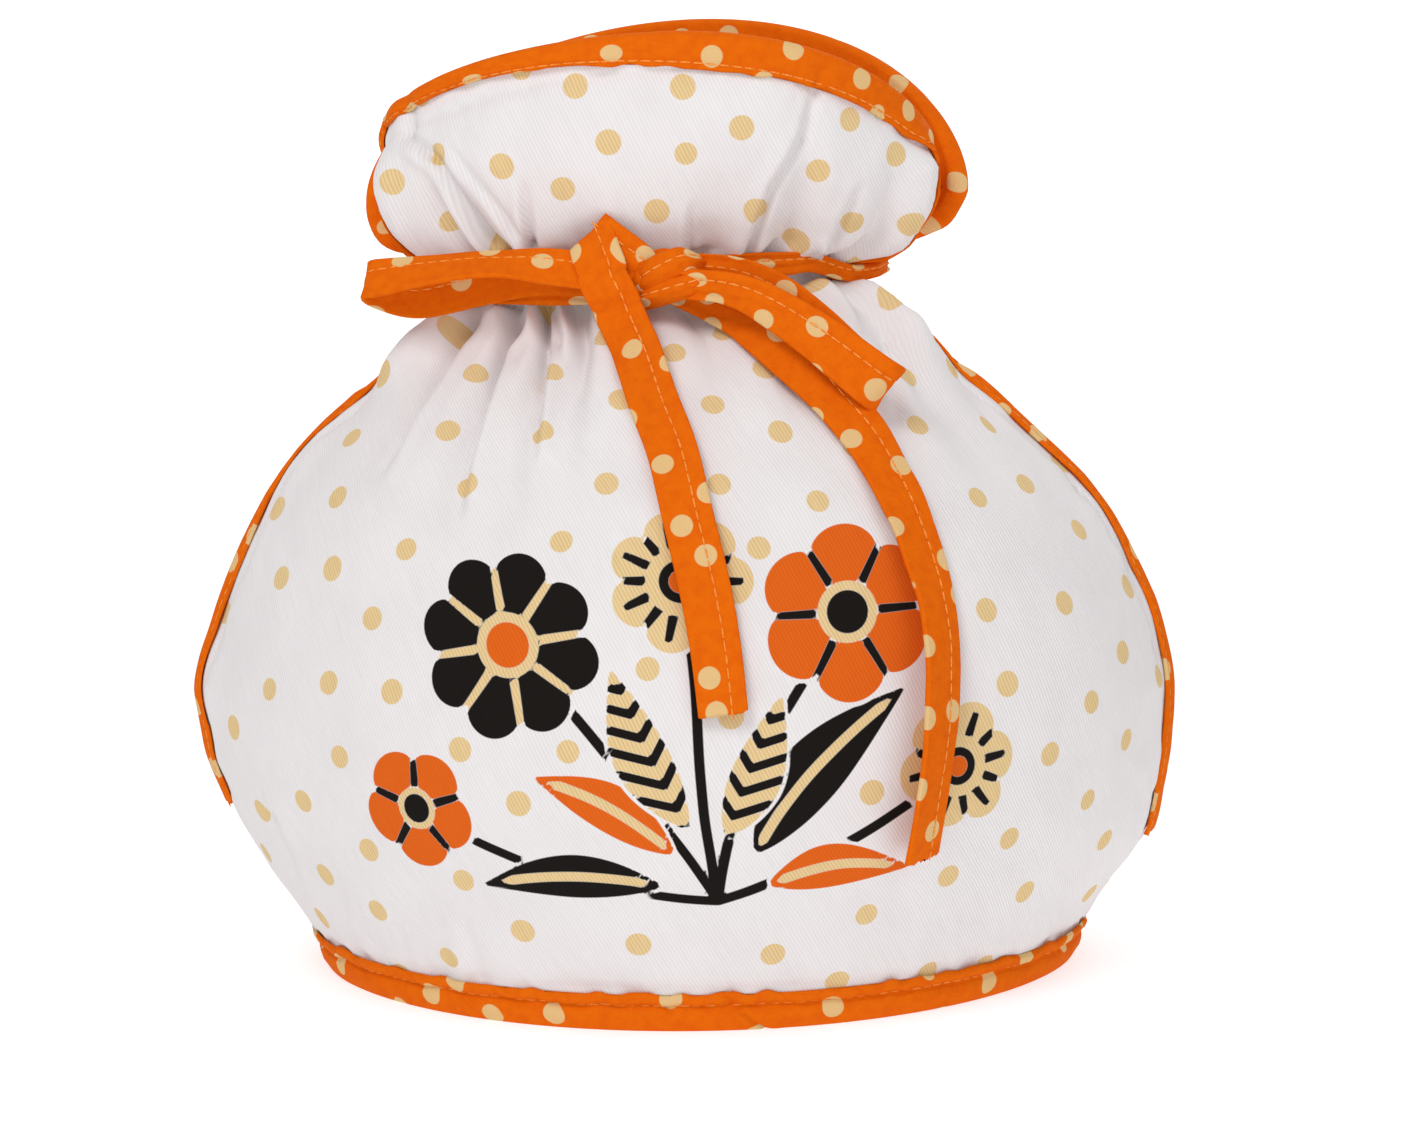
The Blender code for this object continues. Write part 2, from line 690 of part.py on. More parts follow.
def build_lining(panel):
    """Spotted lining of the ruffle flap, inside the panel and within the edge tape."""
    net = Sheet()
    net.grid(drawn_in(flap_patch(panel, EDGE_TAPE_WIDTH), LINING_INSET))

    def outer(across, height):
        return cloth_point(panel, across, height, -wall(height) - LINING_GAP)

    def inner(across, height):
        return cloth_point(panel, across, height, -wall(height) - LINING_GAP - LINING_WALL)

    return net.solid(panel.name + "_lining", outer, inner, "orange_cotton")


def beyond(outer_place, inner_place, inwards, width):
    """Place so many millimetres in from the edge, or out past it where negative."""
    share = inwards / width
    return tuple(a + (b - a) * share for a, b in zip(outer_place, inner_place))


def tape_profile(width, cloth):
    """Folded tape's section, a U over an edge, as (in from the edge, proud) pairs."""
    face = TAPE_GAP
    top = TAPE_GAP + TAPE_WALL
    return [
        (width, top), (0.0, top), (-top, 0.0), (-top, -cloth), (0.0, -cloth - top),
        (width, -cloth - top), (width, -cloth - face), (-face, -cloth - face),
        (-face, face), (width, face),
    ]


def tape_section(panel, edge, inset, width):
    """Points of the folded tape's section at one station of the panel's edge."""
    points = []
    for inwards, proud in tape_profile(width, wall(edge[1])):
        across, level = beyond(edge, inset, inwards, width)
        points.append(cloth_point(panel, across, level, proud))
    return points


def sweep(name, sections, finish, closed=False, reach=None):
    """Solid through a row of like sections, capped at its ends unless it closes.

    Each four-sided face is split from its section's point of larger reach.
    """
    size = len(sections[0])
    reach = reach or [0.0] * size
    points = [point for section in sections for point in section]
    faces = []
    runs = len(sections) if closed else len(sections) - 1
    for k in range(runs):
        here = k * size
        there = ((k + 1) % len(sections)) * size
        for i in range(size):
            j = (i + 1) % size
            if reach[i] >= reach[j]:
                faces.append((here + i, here + j, there + j))
                faces.append((here + i, there + j, there + i))
            else:
                faces.append((here + i, here + j, there + i))
                faces.append((here + j, there + j, there + i))
    if not closed:
        faces.append(tuple(reversed(range(size))))
        last = (len(sections) - 1) * size
        faces.append(tuple(last + i for i in range(size)))
    return make_object(name, points, faces, finish)


def build_edge_tape(panel):
    """Tape folded over the panel's free edge, from one opening's foot to the other's."""
    width = EDGE_TAPE_WIDTH
    stations = []
    for side, foot in ((-1.0, LEFT_OPENING_FOOT), (1.0, RIGHT_OPENING_FOOT)):
        rows = [foot + TAPE_STEP_ABOVE_FOOT]
        rows += [h for h in body_heights()[:-1] if h > foot + TAPE_STEP_ABOVE_FOOT]
        pairs = []
        for height in rows:
            share = tape_share(panel, side, height, width)
            pairs.append(((side, height), (side * (1.0 - share), height)))
        stations.append(pairs)
    outline = flap_outline(panel)
    inset = flap_inset(panel, width)
    path = stations[0] + list(zip(outline, inset)) + list(reversed(stations[1]))
    sections = [tape_section(panel, edge, inner, width) for edge, inner in path]
    reach = [inwards for inwards, _ in tape_profile(width, WADDED_WALL)]
    return sweep(panel.name + "_edge_tape", sections, "orange_cotton", reach=reach)


def hem_section(panel, across):
    """Hem tape's section at one place: a U over the lower edge, flat on the ground."""
    cloth = WADDED_WALL
    near = TAPE_GAP
    far = TAPE_GAP + TAPE_WALL

    def at(height, proud, drop=0.0):
        point = cloth_point(panel, across, height, proud)
        point.z -= drop
        return point

    def grounded(proud):
        point = at(PANEL_FOOT, proud)
        return Vector((point.x, point.y, 0.0))

    top = HEM_TAPE_WIDTH
    return [
        at(top, far), at(PANEL_FOOT, far), grounded(far), grounded(-cloth - far),
        at(PANEL_FOOT, -cloth - far), at(top, -cloth - far), at(top, -cloth - near),
        at(PANEL_FOOT, -cloth - near, near), at(PANEL_FOOT, near, near), at(top, near),
    ]


def build_hem_tape():
    """One tape folded over both panels' lower edges, closed into a ring."""
    sections = []
    for panel, order in ((FRONT, 1), (BACK, -1)):
        row = body_row(panel, PANEL_FOOT)
        for across, _ in row[::order]:
            sections.append(hem_section(panel, across * SEAM_SHARE))
    return sweep("hem_tape", sections, "orange_cotton", closed=True)


def route_stations(rows, reach):
    """Smooth stations through a route's rows, about ROUTE_STEP apart by reach."""
    last = len(rows) - 1
    stations = []
    for i in range(last):
        near = [rows[max(0, min(last, i + k))] for k in (-1, 0, 1, 2)]
        parts = max(1, round(reach(near[1], near[2]) / ROUTE_STEP))
        for part in range(parts):
            stations.append([between(part / parts, *values) for values in zip(*near)])
    stations.append(list(rows[-1]))
    return stations


def between(share, before, start, end, after):
    """Smooth value a share of the way from start to end."""
    slope = end - before
    bend = 2.0 * before - 5.0 * start + 4.0 * end - after
    turn = 3.0 * start - before - 3.0 * end + after
    return start + 0.5 * share * (slope + share * (bend + share * turn))


def ribbon_sections(points, normals, widths, thickness):
    """Flat ribbon's sections along points, its face along the normals."""
    sections = []
    for i, point in enumerate(points):
        before = points[max(0, i - 1)]
        after = points[min(len(points) - 1, i + 1)]
        run = (after - before).normalized()
        face = normals[i]
        over = run.cross(face).normalized()
        face = over.cross(run).normalized()
        half = over * widths[i] / 2.0
        lift = face * thickness / 2.0
        sections.append([point - half - lift, point + half - lift,
                         point + half + lift, point - half + lift])
    return sections


def turned(normal, run, degrees):
    """Normal turned about the run of a ribbon."""
    return Matrix.Rotation(math.radians(degrees), 3, run.normalized()) @ normal


def run_at(points, index):
    """Direction of a ribbon's run at a station."""
    run = points[min(len(points) - 1, index + 1)] - points[max(0, index - 1)]
    return run.normalized()


def build_tail(name, rows):
    """Tail of the bow, hanging down in front of the front panel."""
    stations = route_stations(rows, lambda a, b: math.dist(a[:2], b[:2]))
    points, faces = [], []
    for x, height, proud, _, _ in stations:
        across = across_at(FRONT, x, height)
        face = face_normal(FRONT, across, height)
        face.z = 0.0
        face.normalize()
        points.append(bare_point(FRONT, across, height) + face * proud)
        faces.append(face)
    faces = [turned(face, run_at(points, i), stations[i][3]) for i, face in enumerate(faces)]
    widths = [station[4] for station in stations]
    sections = ribbon_sections(points, faces, widths, RIBBON_WALL)
    return sweep(name, sections, "orange_cotton")


def build_loop(name, rows):
    """Loop of the bow, standing free between the knot and its folded end."""
    stations = route_stations(rows, lambda a, b: math.dist(a[:3], b[:3]))
    points = [Vector((x, -depth, height)) for x, depth, height, _, _, _ in stations]
    faces = []
    for i, station in enumerate(stations):
        lean = math.radians(station[3])
        run = run_at(points, i)
        face = run.cross(Vector((math.sin(lean), 0.0, math.cos(lean)))).normalized()
        faces.append(turned(face, run, station[4]))
    widths = [station[5] for station in stations]
    sections = ribbon_sections(points, faces, widths, RIBBON_WALL)
    return sweep(name, sections, "orange_cotton")


def build_band():
    """Ribbon drawn round the gathered neck."""
    sections = []
    for panel, order in ((FRONT, 1), (BACK, -1)):
        for i in range(BAND_COLUMNS + 1):
            across = order * (-1.0 + 2.0 * i / BAND_COLUMNS)
            middle = bare_point(panel, across, NECK_HEIGHT)
            outward = face_normal(panel, across, NECK_HEIGHT)
            outward.z = 0.0
            outward.normalize()
            near = middle + outward * (BAND_CLEARANCE + BAND_SIDE_CLEARANCE * across ** 4)
            far = near + outward * BAND_WALL
            low = middle.z - BAND_DROP - BAND_WIDTH / 2.0
            high = low + BAND_WIDTH
            sections.append([
                Vector((near.x, near.y, low)), Vector((far.x, far.y, low + BAND_CHAMFER)),
                Vector((far.x, far.y, high - BAND_CHAMFER)), Vector((near.x, near.y, high))])
    return sweep("neck_band", sections, "orange_cotton", closed=True)


def build_knot():
    """Lumpy knot in front of the neck, drawn in round its middle."""
    shape = bmesh.new()
    half = 0.5
    bmesh.ops.create_icosphere(shape, subdivisions=2, radius=half)
    lean = Matrix.Rotation(KNOT_LEAN, 3, "Y")
    points = []
    for vert in shape.verts:
        x, y, z = vert.co
        boxy = half / max(half * KNOT_CORNER, abs(x), abs(z))
        draw = 1.0 - KNOT_WAIST * math.cos(x * KNOT_WAIST_TURNS) ** 2
        local = Vector((x * boxy * KNOT_SIZE[0], y * KNOT_SIZE[1],
                        z * boxy * draw * KNOT_SIZE[2]))
        points.append(lean @ local + Vector(KNOT_CENTRE))
    faces = [[vert.index for vert in face.verts] for face in shape.faces]
    shape.free()
    return make_object("knot", points, faces, "orange_cotton")


def build_tie():
    """Band, knot, loops and tails joined into the one ribbon that they are."""
    tie = build_band()
    tie.name = "tie"
    strands = [build_knot(), build_loop("left_loop", LEFT_LOOP),
               build_loop("right_loop", RIGHT_LOOP),
               build_tail("short_tail", SHORT_TAIL), build_tail("long_tail", LONG_TAIL)]
    for strand in strands:
        join = tie.modifiers.new(strand.name, "BOOLEAN")
        join.operation = "UNION"
        join.object = strand
    graph = bpy.context.evaluated_depsgraph_get()
    joined = bpy.data.meshes.new_from_object(tie.evaluated_get(graph))
    tie.modifiers.clear()
    tie.data = joined
    joined.name = "tie"
    for strand in strands:
        bpy.data.objects.remove(strand, do_unlink=True)
    return tie


def main():
    """Build every piece of the cosy."""
    clear_scene()
    for panel in (FRONT, BACK):
        build_panel(panel)
        build_lining(panel)
        build_edge_tape(panel)
    build_hem_tape()
    build_tie()


main()
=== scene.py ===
"""Looks of the tea cosy: wadded printed cotton, spotted bindings and a spotted ribbon tie.

The front and back cloths bend into one oval shell that stands on its bound hem and is
gathered at the neck, under two ruffle flaps. Every face is worked out from the same
sections, folds and swells as the construction, on finer nets, and gets what sewn cloth
shows besides: puffs beside the bindings, puckers, creases at the neck, rows of stitches.

+X is the right side, -Y the front with the bow, +Z up. The tables are in millimetres
and the meshes in metres.
"""

import logging
import math
from collections.abc import Callable, Sequence
from dataclasses import dataclass, field
from enum import Enum
from typing import NamedTuple

import bmesh
import bpy
import numpy as np
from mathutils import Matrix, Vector
from mathutils.kdtree import KDTree


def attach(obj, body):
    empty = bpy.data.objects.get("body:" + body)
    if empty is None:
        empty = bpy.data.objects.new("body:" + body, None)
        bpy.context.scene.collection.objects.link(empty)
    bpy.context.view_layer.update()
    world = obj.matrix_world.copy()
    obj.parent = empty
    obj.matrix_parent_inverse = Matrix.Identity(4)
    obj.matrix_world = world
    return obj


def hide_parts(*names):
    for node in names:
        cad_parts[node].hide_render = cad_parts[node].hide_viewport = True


MM = 0.001
BODY = "root"
FLAT_MAP = "cloth"
OUTWARD = "outward"

Array = np.ndarray
Pair = tuple[float, float]
Triple = tuple[float, float, float]
Colour = tuple[float, float, float, float]
Socket = bpy.types.NodeSocket

# Cloth thicknesses, gaps and widths
WADDED_WALL = 4.4
FLAP_WALL = 2.4
LINING_WALL = 1.2
LINING_GAP = 0.8
TAPE_GAP = 0.5
TAPE_WALL = 0.9
TAPE_TOP = TAPE_GAP + TAPE_WALL
EDGE_TAPE_WIDTH = 7.6
HEM_TAPE_WIDTH = 9.5

# Shares of its width by which the front binding is sewn down narrower
FLAP_TUCK = 0.58
BODY_TUCK = 0.35

# Heights of the panels' parts; the neck and the hem lie a little askew
PANEL_FOOT = 1.4
NECK_HEIGHT = 172.0
NECK_TILT = 0.04
NECK_TILT_REACH = 45.0
LEFT_OPENING_FOOT = 42.0
RIGHT_OPENING_FOOT = 34.5
BINDING_STARTS_ABOVE = 1.5
WALL_THINS_FROM = 150.0
HEM_SKEW = 0.07
HEM_SKEW_ENDS = 70.0
ARCH_CORNER = math.radians(60.0)
SEAM_SHARE = 0.999

# Plan: above 1 the oval draws to a blunt point at each opening, below 1 it curls round
BODY_TAPER = 1.15
FLAP_TAPER = 0.92
FLAP_CURLS_BY = 188.0

# Gathers: pinched at the neck, open a little way off, then fading
NECK_PINCH = 0.45
PINCH_REACH = 6.0
FOLD_OPENS_BY = 0.18
FOLD_FADING = 1.3
CALM_HEM_FROM = 2.0
CALM_HEM_TO = 28.0
CREASE_FADING = 0.6
CREASE_RIDGE = 0.7
RIDGE_OFF = 2.2
RIDGE_WIDTH = 1.5

# Side edges that curl in towards the neck
LEFT_CURL_FROM = 141.0
RIGHT_CURL_FROM = 146.0
CURL_FADES = 10.0
CREST_AT = 11.0
CREST_SPREAD = 6.5
TURN_REACH = 9.0
NECK_REACH = 4.0

# Steps and counts of the surface sums
ACROSS_STEP = 0.002
HEIGHT_STEP = 0.2
EDGE_SAMPLES = 400
FLAT_PARTS = 20
FLAT_LEVELS = 300
FAR = 1e6
UNPRINTED = -20.0
WAVE_REPEAT = 2.0 * math.pi / 20.0

log = logging.getLogger("tea_cosy")
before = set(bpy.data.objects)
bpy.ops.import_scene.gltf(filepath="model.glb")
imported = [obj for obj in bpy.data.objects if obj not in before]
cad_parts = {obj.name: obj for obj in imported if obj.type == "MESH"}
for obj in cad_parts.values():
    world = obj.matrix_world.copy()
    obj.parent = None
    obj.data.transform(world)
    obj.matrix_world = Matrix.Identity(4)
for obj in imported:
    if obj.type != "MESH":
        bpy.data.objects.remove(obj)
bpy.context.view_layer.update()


class Section(NamedTuple):
    """Oval of a panel at a height."""

    height: float
    centre: float
    half_width: float
    depth: float


class Arch(NamedTuple):
    """Arched top edge of a ruffle flap."""

    base: float
    rise: float
    lean: float
    left_power: float


class Fold(NamedTuple):
    """Gather that runs from the neck and fades away."""

    at_neck: float
    at_end: float
    end_height: float
    depth: float
    width: float


class Swell(NamedTuple):
    """Slow bulge or hollow of the wadded cloth."""

    across: float
    height: float
    push: float
    spread_across: float
    spread_height: float


class Crease(NamedTuple):
    """Sharp crease along (x, height) points, deepest at the first."""

    depth: float
    width: float
    route: tuple[Pair, ...]


class Curl(NamedTuple):
    """How a panel's side edges turn in behind the cloth, out of the front view."""

    turn_in: float
    body_crest: float
    flap_crest: float
    ends_at: float


class Opening(NamedTuple):
    """Half the gap between the panels' edges, by the share of the way up an opening."""

    share: float
    half_gap: float


class Lying(NamedTuple):
    """Place of a ribbon that hangs down the front cloth."""

    x: float
    height: float
    proud: float
    tilt: float
    width: float


class Free(NamedTuple):
    """Place of a ribbon that stands free of the cloth."""

    x: float
    depth: float
    height: float
    lean: float
    tilt: float
    width: float


class Ink(Enum):
    """Colours printed on the white cotton; each value names a mesh attribute."""

    SAND = "sand_ink"
    RUST = "rust_ink"
    BLACK = "black_ink"


class Held(Enum):
    """How a piece of cloth is held."""

    GATHERED = "gathered"
    FOLDED = "folded"


class Slot(Enum):
    """Material slots of the record."""

    PRINTED = "printed_cotton"
    LINING = "spotted_lining"
    TAPE = "spotted_tape"


FRONT_SECTIONS = [Section(*row) for row in (
    (0.0, 4.3, 91.5, 76.0), (10.0, 4.0, 96.0, 79.0), (28.0, 3.9, 107.0, 85.5),
    (42.0, 2.2, 113.8, 89.5), (57.0, 0.4, 118.2, 91.5), (69.0, 0.0, 118.8, 92.0),
    (86.0, 0.3, 115.4, 90.0), (106.0, -0.2, 107.2, 84.5), (123.5, -0.6, 95.4, 76.0),
    (136.0, -2.3, 83.6, 67.5), (148.0, -3.6, 69.6, 57.0), (160.0, -4.6, 56.2, 42.5),
    (165.0, -7.8, 50.0, 33.5), (168.5, -9.0, 48.0, 28.8), (172.0, -9.0, 48.0, 28.0),
    (175.5, -6.6, 51.8, 28.2), (179.0, -5.6, 61.8, 30.5), (183.0, -6.6, 64.8, 32.0),
    (188.0, -7.0, 67.4, 34.0), (194.0, -7.2, 68.8, 35.5), (201.0, -7.2, 67.8, 36.6),
    (207.0, -7.1, 65.4, 37.2), (213.0, -7.0, 63.8, 37.6), (220.0, -6.8, 62.5, 38.0),
    (234.0, -6.6, 62.0, 38.5),
)]

BACK_SECTIONS = [Section(*row) for row in (
    (0.0, 4.3, 91.5, 76.0), (10.0, 4.0, 96.0, 79.0), (28.0, 3.9, 107.0, 86.0),
    (42.0, 2.2, 114.0, 90.5), (57.0, 0.4, 117.2, 93.0), (69.0, 0.0, 117.8, 93.5),
    (86.0, 0.3, 113.2, 91.5), (106.0, -0.2, 104.4, 86.0), (123.5, -0.6, 92.5, 77.0),
    (136.0, -2.3, 80.7, 68.0), (148.0, -3.5, 67.7, 57.5), (160.0, -5.2, 55.0, 42.0),
    (165.0, -8.2, 51.0, 33.0), (168.5, -9.5, 49.5, 28.3), (172.0, -8.3, 50.2, 27.5),
    (175.5, -2.7, 57.6, 27.8), (179.0, -5.0, 66.0, 30.0), (184.0, -5.2, 70.7, 32.5),
    (190.0, -4.6, 72.6, 34.0), (198.0, -4.0, 72.2, 35.2), (206.0, -3.4, 71.0, 36.0),
    (216.0, -3.0, 70.0, 36.6), (234.0, -3.0, 69.0, 37.0),
)]

OPENING_SHAPE = [Opening(*row) for row in (
    (-0.03, 0.16), (0.0, 2.4), (0.06, 5.5), (0.16, 9.5), (0.35, 13.5), (0.58, 14.0), (0.77, 10.0),
    (0.92, 5.0), (1.0, 3.2), (1.06, 3.8), (1.16, 4.0), (1.50, 4.0),
)]

FRONT_FOLDS = [Fold(*row) for row in (
    (-0.86, -0.90, 130.0, 2.6, 0.060), (-0.70, -0.66, 118.0, 2.8, 0.055),
    (-0.50, -0.47, 112.0, 5.4, 0.048), (-0.385, -0.30, 104.0, 6.2, 0.043),
    (-0.27, -0.21, 108.0, 5.4, 0.040), (-0.08, -0.06, 138.0, 2.4, 0.055),
    (0.14, 0.12, 132.0, 2.6, 0.060), (0.34, 0.30, 126.0, 3.4, 0.055),
    (0.56, 0.50, 120.0, 3.6, 0.060), (0.74, 0.62, 112.0, 4.4, 0.060),
    (0.90, 0.80, 108.0, 3.6, 0.055), (-0.80, -0.86, 200.0, 2.4, 0.060),
    (-0.52, -0.66, 216.0, 4.6, 0.045), (-0.40, -0.54, 210.0, 3.8, 0.045),
    (-0.16, -0.20, 200.0, 3.0, 0.060), (0.12, 0.13, 200.0, 3.6, 0.050),
    (0.32, 0.42, 226.0, 4.8, 0.045), (0.64, 0.66, 204.0, 3.6, 0.050),
    (0.86, 0.84, 196.0, 2.2, 0.050),
)]

BACK_FOLDS = [Fold(*row) for row in (
    (-0.84, -0.88, 128.0, 2.6, 0.070), (-0.64, -0.58, 112.0, 4.2, 0.065),
    (-0.44, -0.40, 122.0, 3.6, 0.060), (-0.24, -0.20, 106.0, 4.8, 0.060),
    (-0.02, -0.05, 130.0, 3.2, 0.065), (0.20, 0.16, 110.0, 4.4, 0.060),
    (0.42, 0.36, 118.0, 3.8, 0.060), (0.62, 0.58, 126.0, 3.2, 0.065),
    (0.82, 0.80, 112.0, 3.6, 0.065), (-0.70, -0.74, 208.0, 3.2, 0.065),
    (-0.46, -0.54, 220.0, 4.2, 0.060), (-0.18, -0.22, 204.0, 3.4, 0.060),
    (0.08, 0.12, 218.0, 4.0, 0.060), (0.36, 0.42, 206.0, 3.4, 0.060),
    (0.60, 0.68, 214.0, 3.8, 0.060),
)]

FRONT_SWELLS = [Swell(*row) for row in (
    (-0.92, 30.0, 1.8, 0.20, 16.0), (-0.70, 120.0, 2.0, 0.22, 22.0), (-0.15, 60.0, 1.2, 0.35, 34.0),
    (0.45, 30.0, -1.2, 0.25, 18.0), (0.86, 154.0, 4.2, 0.12, 9.5), (-0.87, 155.0, 5.2, 0.13, 9.5),
    (0.66, 96.0, 1.4, 0.25, 26.0), (-0.35, 206.0, 2.0, 0.22, 14.0), (0.30, 204.0, 1.4, 0.20, 16.0),
    (0.62, 164.5, 6.0, 0.17, 5.0), (1.0, 34.0, 2.0, 0.22, 11.0), (-0.935, 126.0, 3.0, 0.05, 13.0),
    (-0.945, 74.0, 1.6, 0.05, 12.0), (0.94, 116.0, 1.4, 0.05, 10.0),
)]

BACK_SWELLS = [Swell(*row) for row in (
    (-0.60, 110.0, 1.8, 0.25, 24.0), (0.10, 70.0, 1.4, 0.35, 34.0), (0.70, 40.0, -1.2, 0.25, 18.0),
    (0.40, 208.0, 1.8, 0.22, 14.0), (1.0, 34.0, 2.0, 0.22, 11.0),
)]

FRONT_CREASES = [
    Crease(4.0, 1.0, ((-37.0, 170.0), (-48.7, 162.8), (-54.3, 156.8), (-65.0, 140.5), (-72.0, 126.0))),
    Crease(4.4, 1.0, ((-36.0, 170.0), (-39.8, 162.8), (-44.2, 157.0), (-51.4, 131.5), (-53.0, 120.0))),
    Crease(4.0, 1.0, ((-34.6, 170.0), (-34.4, 158.0), (-35.0, 146.0), (-35.6, 134.0))),
    Crease(2.6, 1.0, ((-38.5, 170.0), (-44.0, 159.0), (-48.0, 148.0))),
    Crease(2.4, 1.0, ((-33.4, 171.0), (-31.9, 166.0), (-29.6, 155.0))),
    Crease(2.0, 1.4, ((-44.0, 169.0), (-52.9, 164.7), (-60.0, 160.0))),
    Crease(1.2, 1.3, ((-24.0, 166.0), (-25.0, 146.0))),
    Crease(1.6, 1.4, ((33.0, 176.0), (36.0, 168.0), (42.0, 160.0), (47.0, 150.0))),
    Crease(1.4, 1.4, ((49.0, 154.0), (50.9, 140.0))),
    Crease(1.6, 1.4, ((56.0, 162.0), (68.4, 145.4), (76.0, 136.0))),
    Crease(1.3, 1.3, ((22.0, 166.0), (24.0, 150.0))),
    Crease(3.8, 1.2, ((-46.2, 180.0), (-54.1, 192.0), (-59.3, 200.6), (-66.2, 206.0), (-66.4, 217.0))),
    Crease(2.9, 1.1, ((-36.6, 179.0), (-38.3, 197.0))),
    Crease(2.1, 1.1, ((-37.3, 180.0), (-47.0, 193.0), (-57.0, 205.0))),
    Crease(2.6, 1.2, ((14.8, 179.0), (20.5, 195.0), (27.7, 206.0), (30.6, 217.0), (31.6, 226.0))),
    Crease(2.0, 1.1, ((33.6, 178.0), (42.5, 196.0))),
    Crease(1.6, 1.1, ((1.0, 178.0), (1.6, 192.0))),
    Crease(1.2, 1.6, ((-49.0, 12.0), (-53.0, 28.0))),
    Crease(1.2, 1.6, ((-100.0, 44.0), (-94.0, 26.0), (-90.0, 14.0))),
]

BACK_CREASES = [
    Crease(1.4, 1.3, ((46.0, 168.0), (58.0, 146.0), (66.0, 126.0))),
    Crease(1.4, 1.3, ((24.0, 167.0), (28.0, 146.0), (30.0, 124.0))),
    Crease(1.2, 1.3, ((-4.0, 168.0), (-6.0, 148.0))),
    Crease(1.4, 1.3, ((-34.0, 168.0), (-42.0, 146.0), (-46.0, 122.0))),
    Crease(1.2, 1.3, ((-52.0, 166.0), (-68.0, 142.0))),
    Crease(1.0, 1.1, ((40.0, 180.0), (48.0, 200.0))),
    Crease(1.0, 1.1, ((6.0, 180.0), (8.0, 202.0))),
    Crease(1.1, 1.1, ((-30.0, 180.0), (-38.0, 206.0))),
]

SHORT_TAIL = [Lying(*row) for row in (
    (-22.4, 184.6, 5.0, 0.0, 11.5), (-20.6, 181.0, 9.0, 0.0, 12.0), (-16.5, 172.0, 15.5, 0.0, 12.0),
    (-11.5, 160.0, 6.4, 0.0, 12.0), (-7.6, 148.0, 3.4, 0.0, 12.0), (-3.2, 137.0, 3.0, 0.0, 12.0),
    (0.5, 122.5, 2.6, 0.0, 12.0), (4.1, 108.0, 2.6, 0.0, 12.0), (6.7, 93.8, 2.8, 0.0, 11.8),
    (8.4, 79.1, 3.2, 4.0, 11.6),
)]

LONG_TAIL = [Lying(*row) for row in (
    (-6.0, 173.0, 8.0, 0.0, 8.0), (2.0, 168.8, 9.0, 0.0, 8.5), (11.5, 164.0, 8.8, 0.0, 10.0),
    (21.7, 156.5, 7.0, 0.0, 12.0), (31.0, 148.5, 4.8, 0.0, 12.0), (41.0, 138.0, 3.4, 0.0, 12.0),
    (47.0, 128.5, 3.2, -4.0, 12.0), (51.8, 118.0, 3.4, -8.0, 12.0), (55.4, 106.0, 4.2, -14.0, 12.0),
    (57.0, 93.5, 5.6, -20.0, 12.0), (56.8, 80.0, 6.2, -24.0, 12.0), (55.8, 68.3, 6.4, -26.0, 12.0),
    (54.4, 56.0, 6.0, -26.0, 12.0), (52.8, 42.7, 5.4, -24.0, 12.0),
)]

LEFT_LOOP = [Free(*row) for row in (
    (-8.0, 39.0, 175.0, 0.0, 0.0, 9.0), (-26.0, 39.0, 176.0, -2.0, 28.0, 9.8),
    (-44.0, 37.0, 177.2, 1.0, 60.0, 9.8), (-61.0, 33.0, 175.3, 6.0, 54.0, 9.8),
    (-72.0, 29.4, 173.4, 9.0, 26.0, 9.6), (-76.2, 26.4, 172.0, 10.0, 0.0, 9.4),
    (-73.0, 23.6, 169.4, 8.0, -6.0, 9.6), (-64.0, 23.4, 167.6, 0.0, -10.0, 10.0),
    (-50.0, 26.0, 171.0, -8.0, -10.0, 10.4), (-36.0, 30.0, 174.0, -8.0, -6.0, 10.4),
    (-22.0, 33.0, 174.0, 0.0, -4.0, 9.5), (-8.0, 34.4, 173.0, 0.0, 0.0, 8.0),
)]

RIGHT_LOOP = [Free(*row) for row in (
    (-6.0, 41.0, 174.0, 0.0, 0.0, 8.0), (2.0, 43.6, 172.9, 4.0, 0.0, 7.4),
    (8.0, 46.0, 172.6, 10.0, 4.0, 7.6), (14.5, 48.6, 171.0, 22.0, 6.0, 8.8),
    (21.5, 51.0, 167.6, 30.0, 4.0, 10.0), (29.5, 53.4, 162.6, 34.0, 0.0, 11.0),
    (37.0, 55.2, 157.2, 37.0, 0.0, 12.0), (44.0, 56.0, 151.8, 39.0, 0.0, 12.8),
    (47.2, 53.2, 149.4, 39.0, 0.0, 13.0), (44.4, 50.4, 150.6, 39.0, 0.0, 12.4),
    (37.6, 48.8, 156.4, 38.0, 0.0, 11.8), (29.5, 46.4, 163.8, 36.0, 0.0, 11.6),
    (20.5, 42.8, 170.6, 27.0, 0.0, 10.8), (10.0, 39.0, 174.6, 12.0, 0.0, 9.5),
    (-4.0, 36.4, 175.4, 0.0, 0.0, 8.5),
)]

FOLD_BACK = [Free(*row) for row in (
    (-22.5, 36.6, 184.8, 37.0, 0.0, 11.0), (-18.0, 38.0, 181.6, 37.0, 0.0, 11.0),
    (-13.0, 39.0, 178.3, 37.0, 0.0, 10.5), (-8.0, 39.4, 175.0, 37.0, 0.0, 9.0),
)]

HIGH_WRAP = [Free(*row) for row in (
    (-12.5, 35.5, 170.0, -33.0, 0.0, 7.0), (-10.5, 40.5, 172.8, -33.0, 0.0, 7.5),
    (-6.0, 43.6, 176.2, -33.0, 0.0, 7.5), (-0.5, 43.0, 178.6, -30.0, 0.0, 7.0),
    (3.5, 39.5, 178.0, -26.0, 0.0, 5.6), (6.0, 34.0, 176.4, -24.0, 0.0, 4.6),
)]

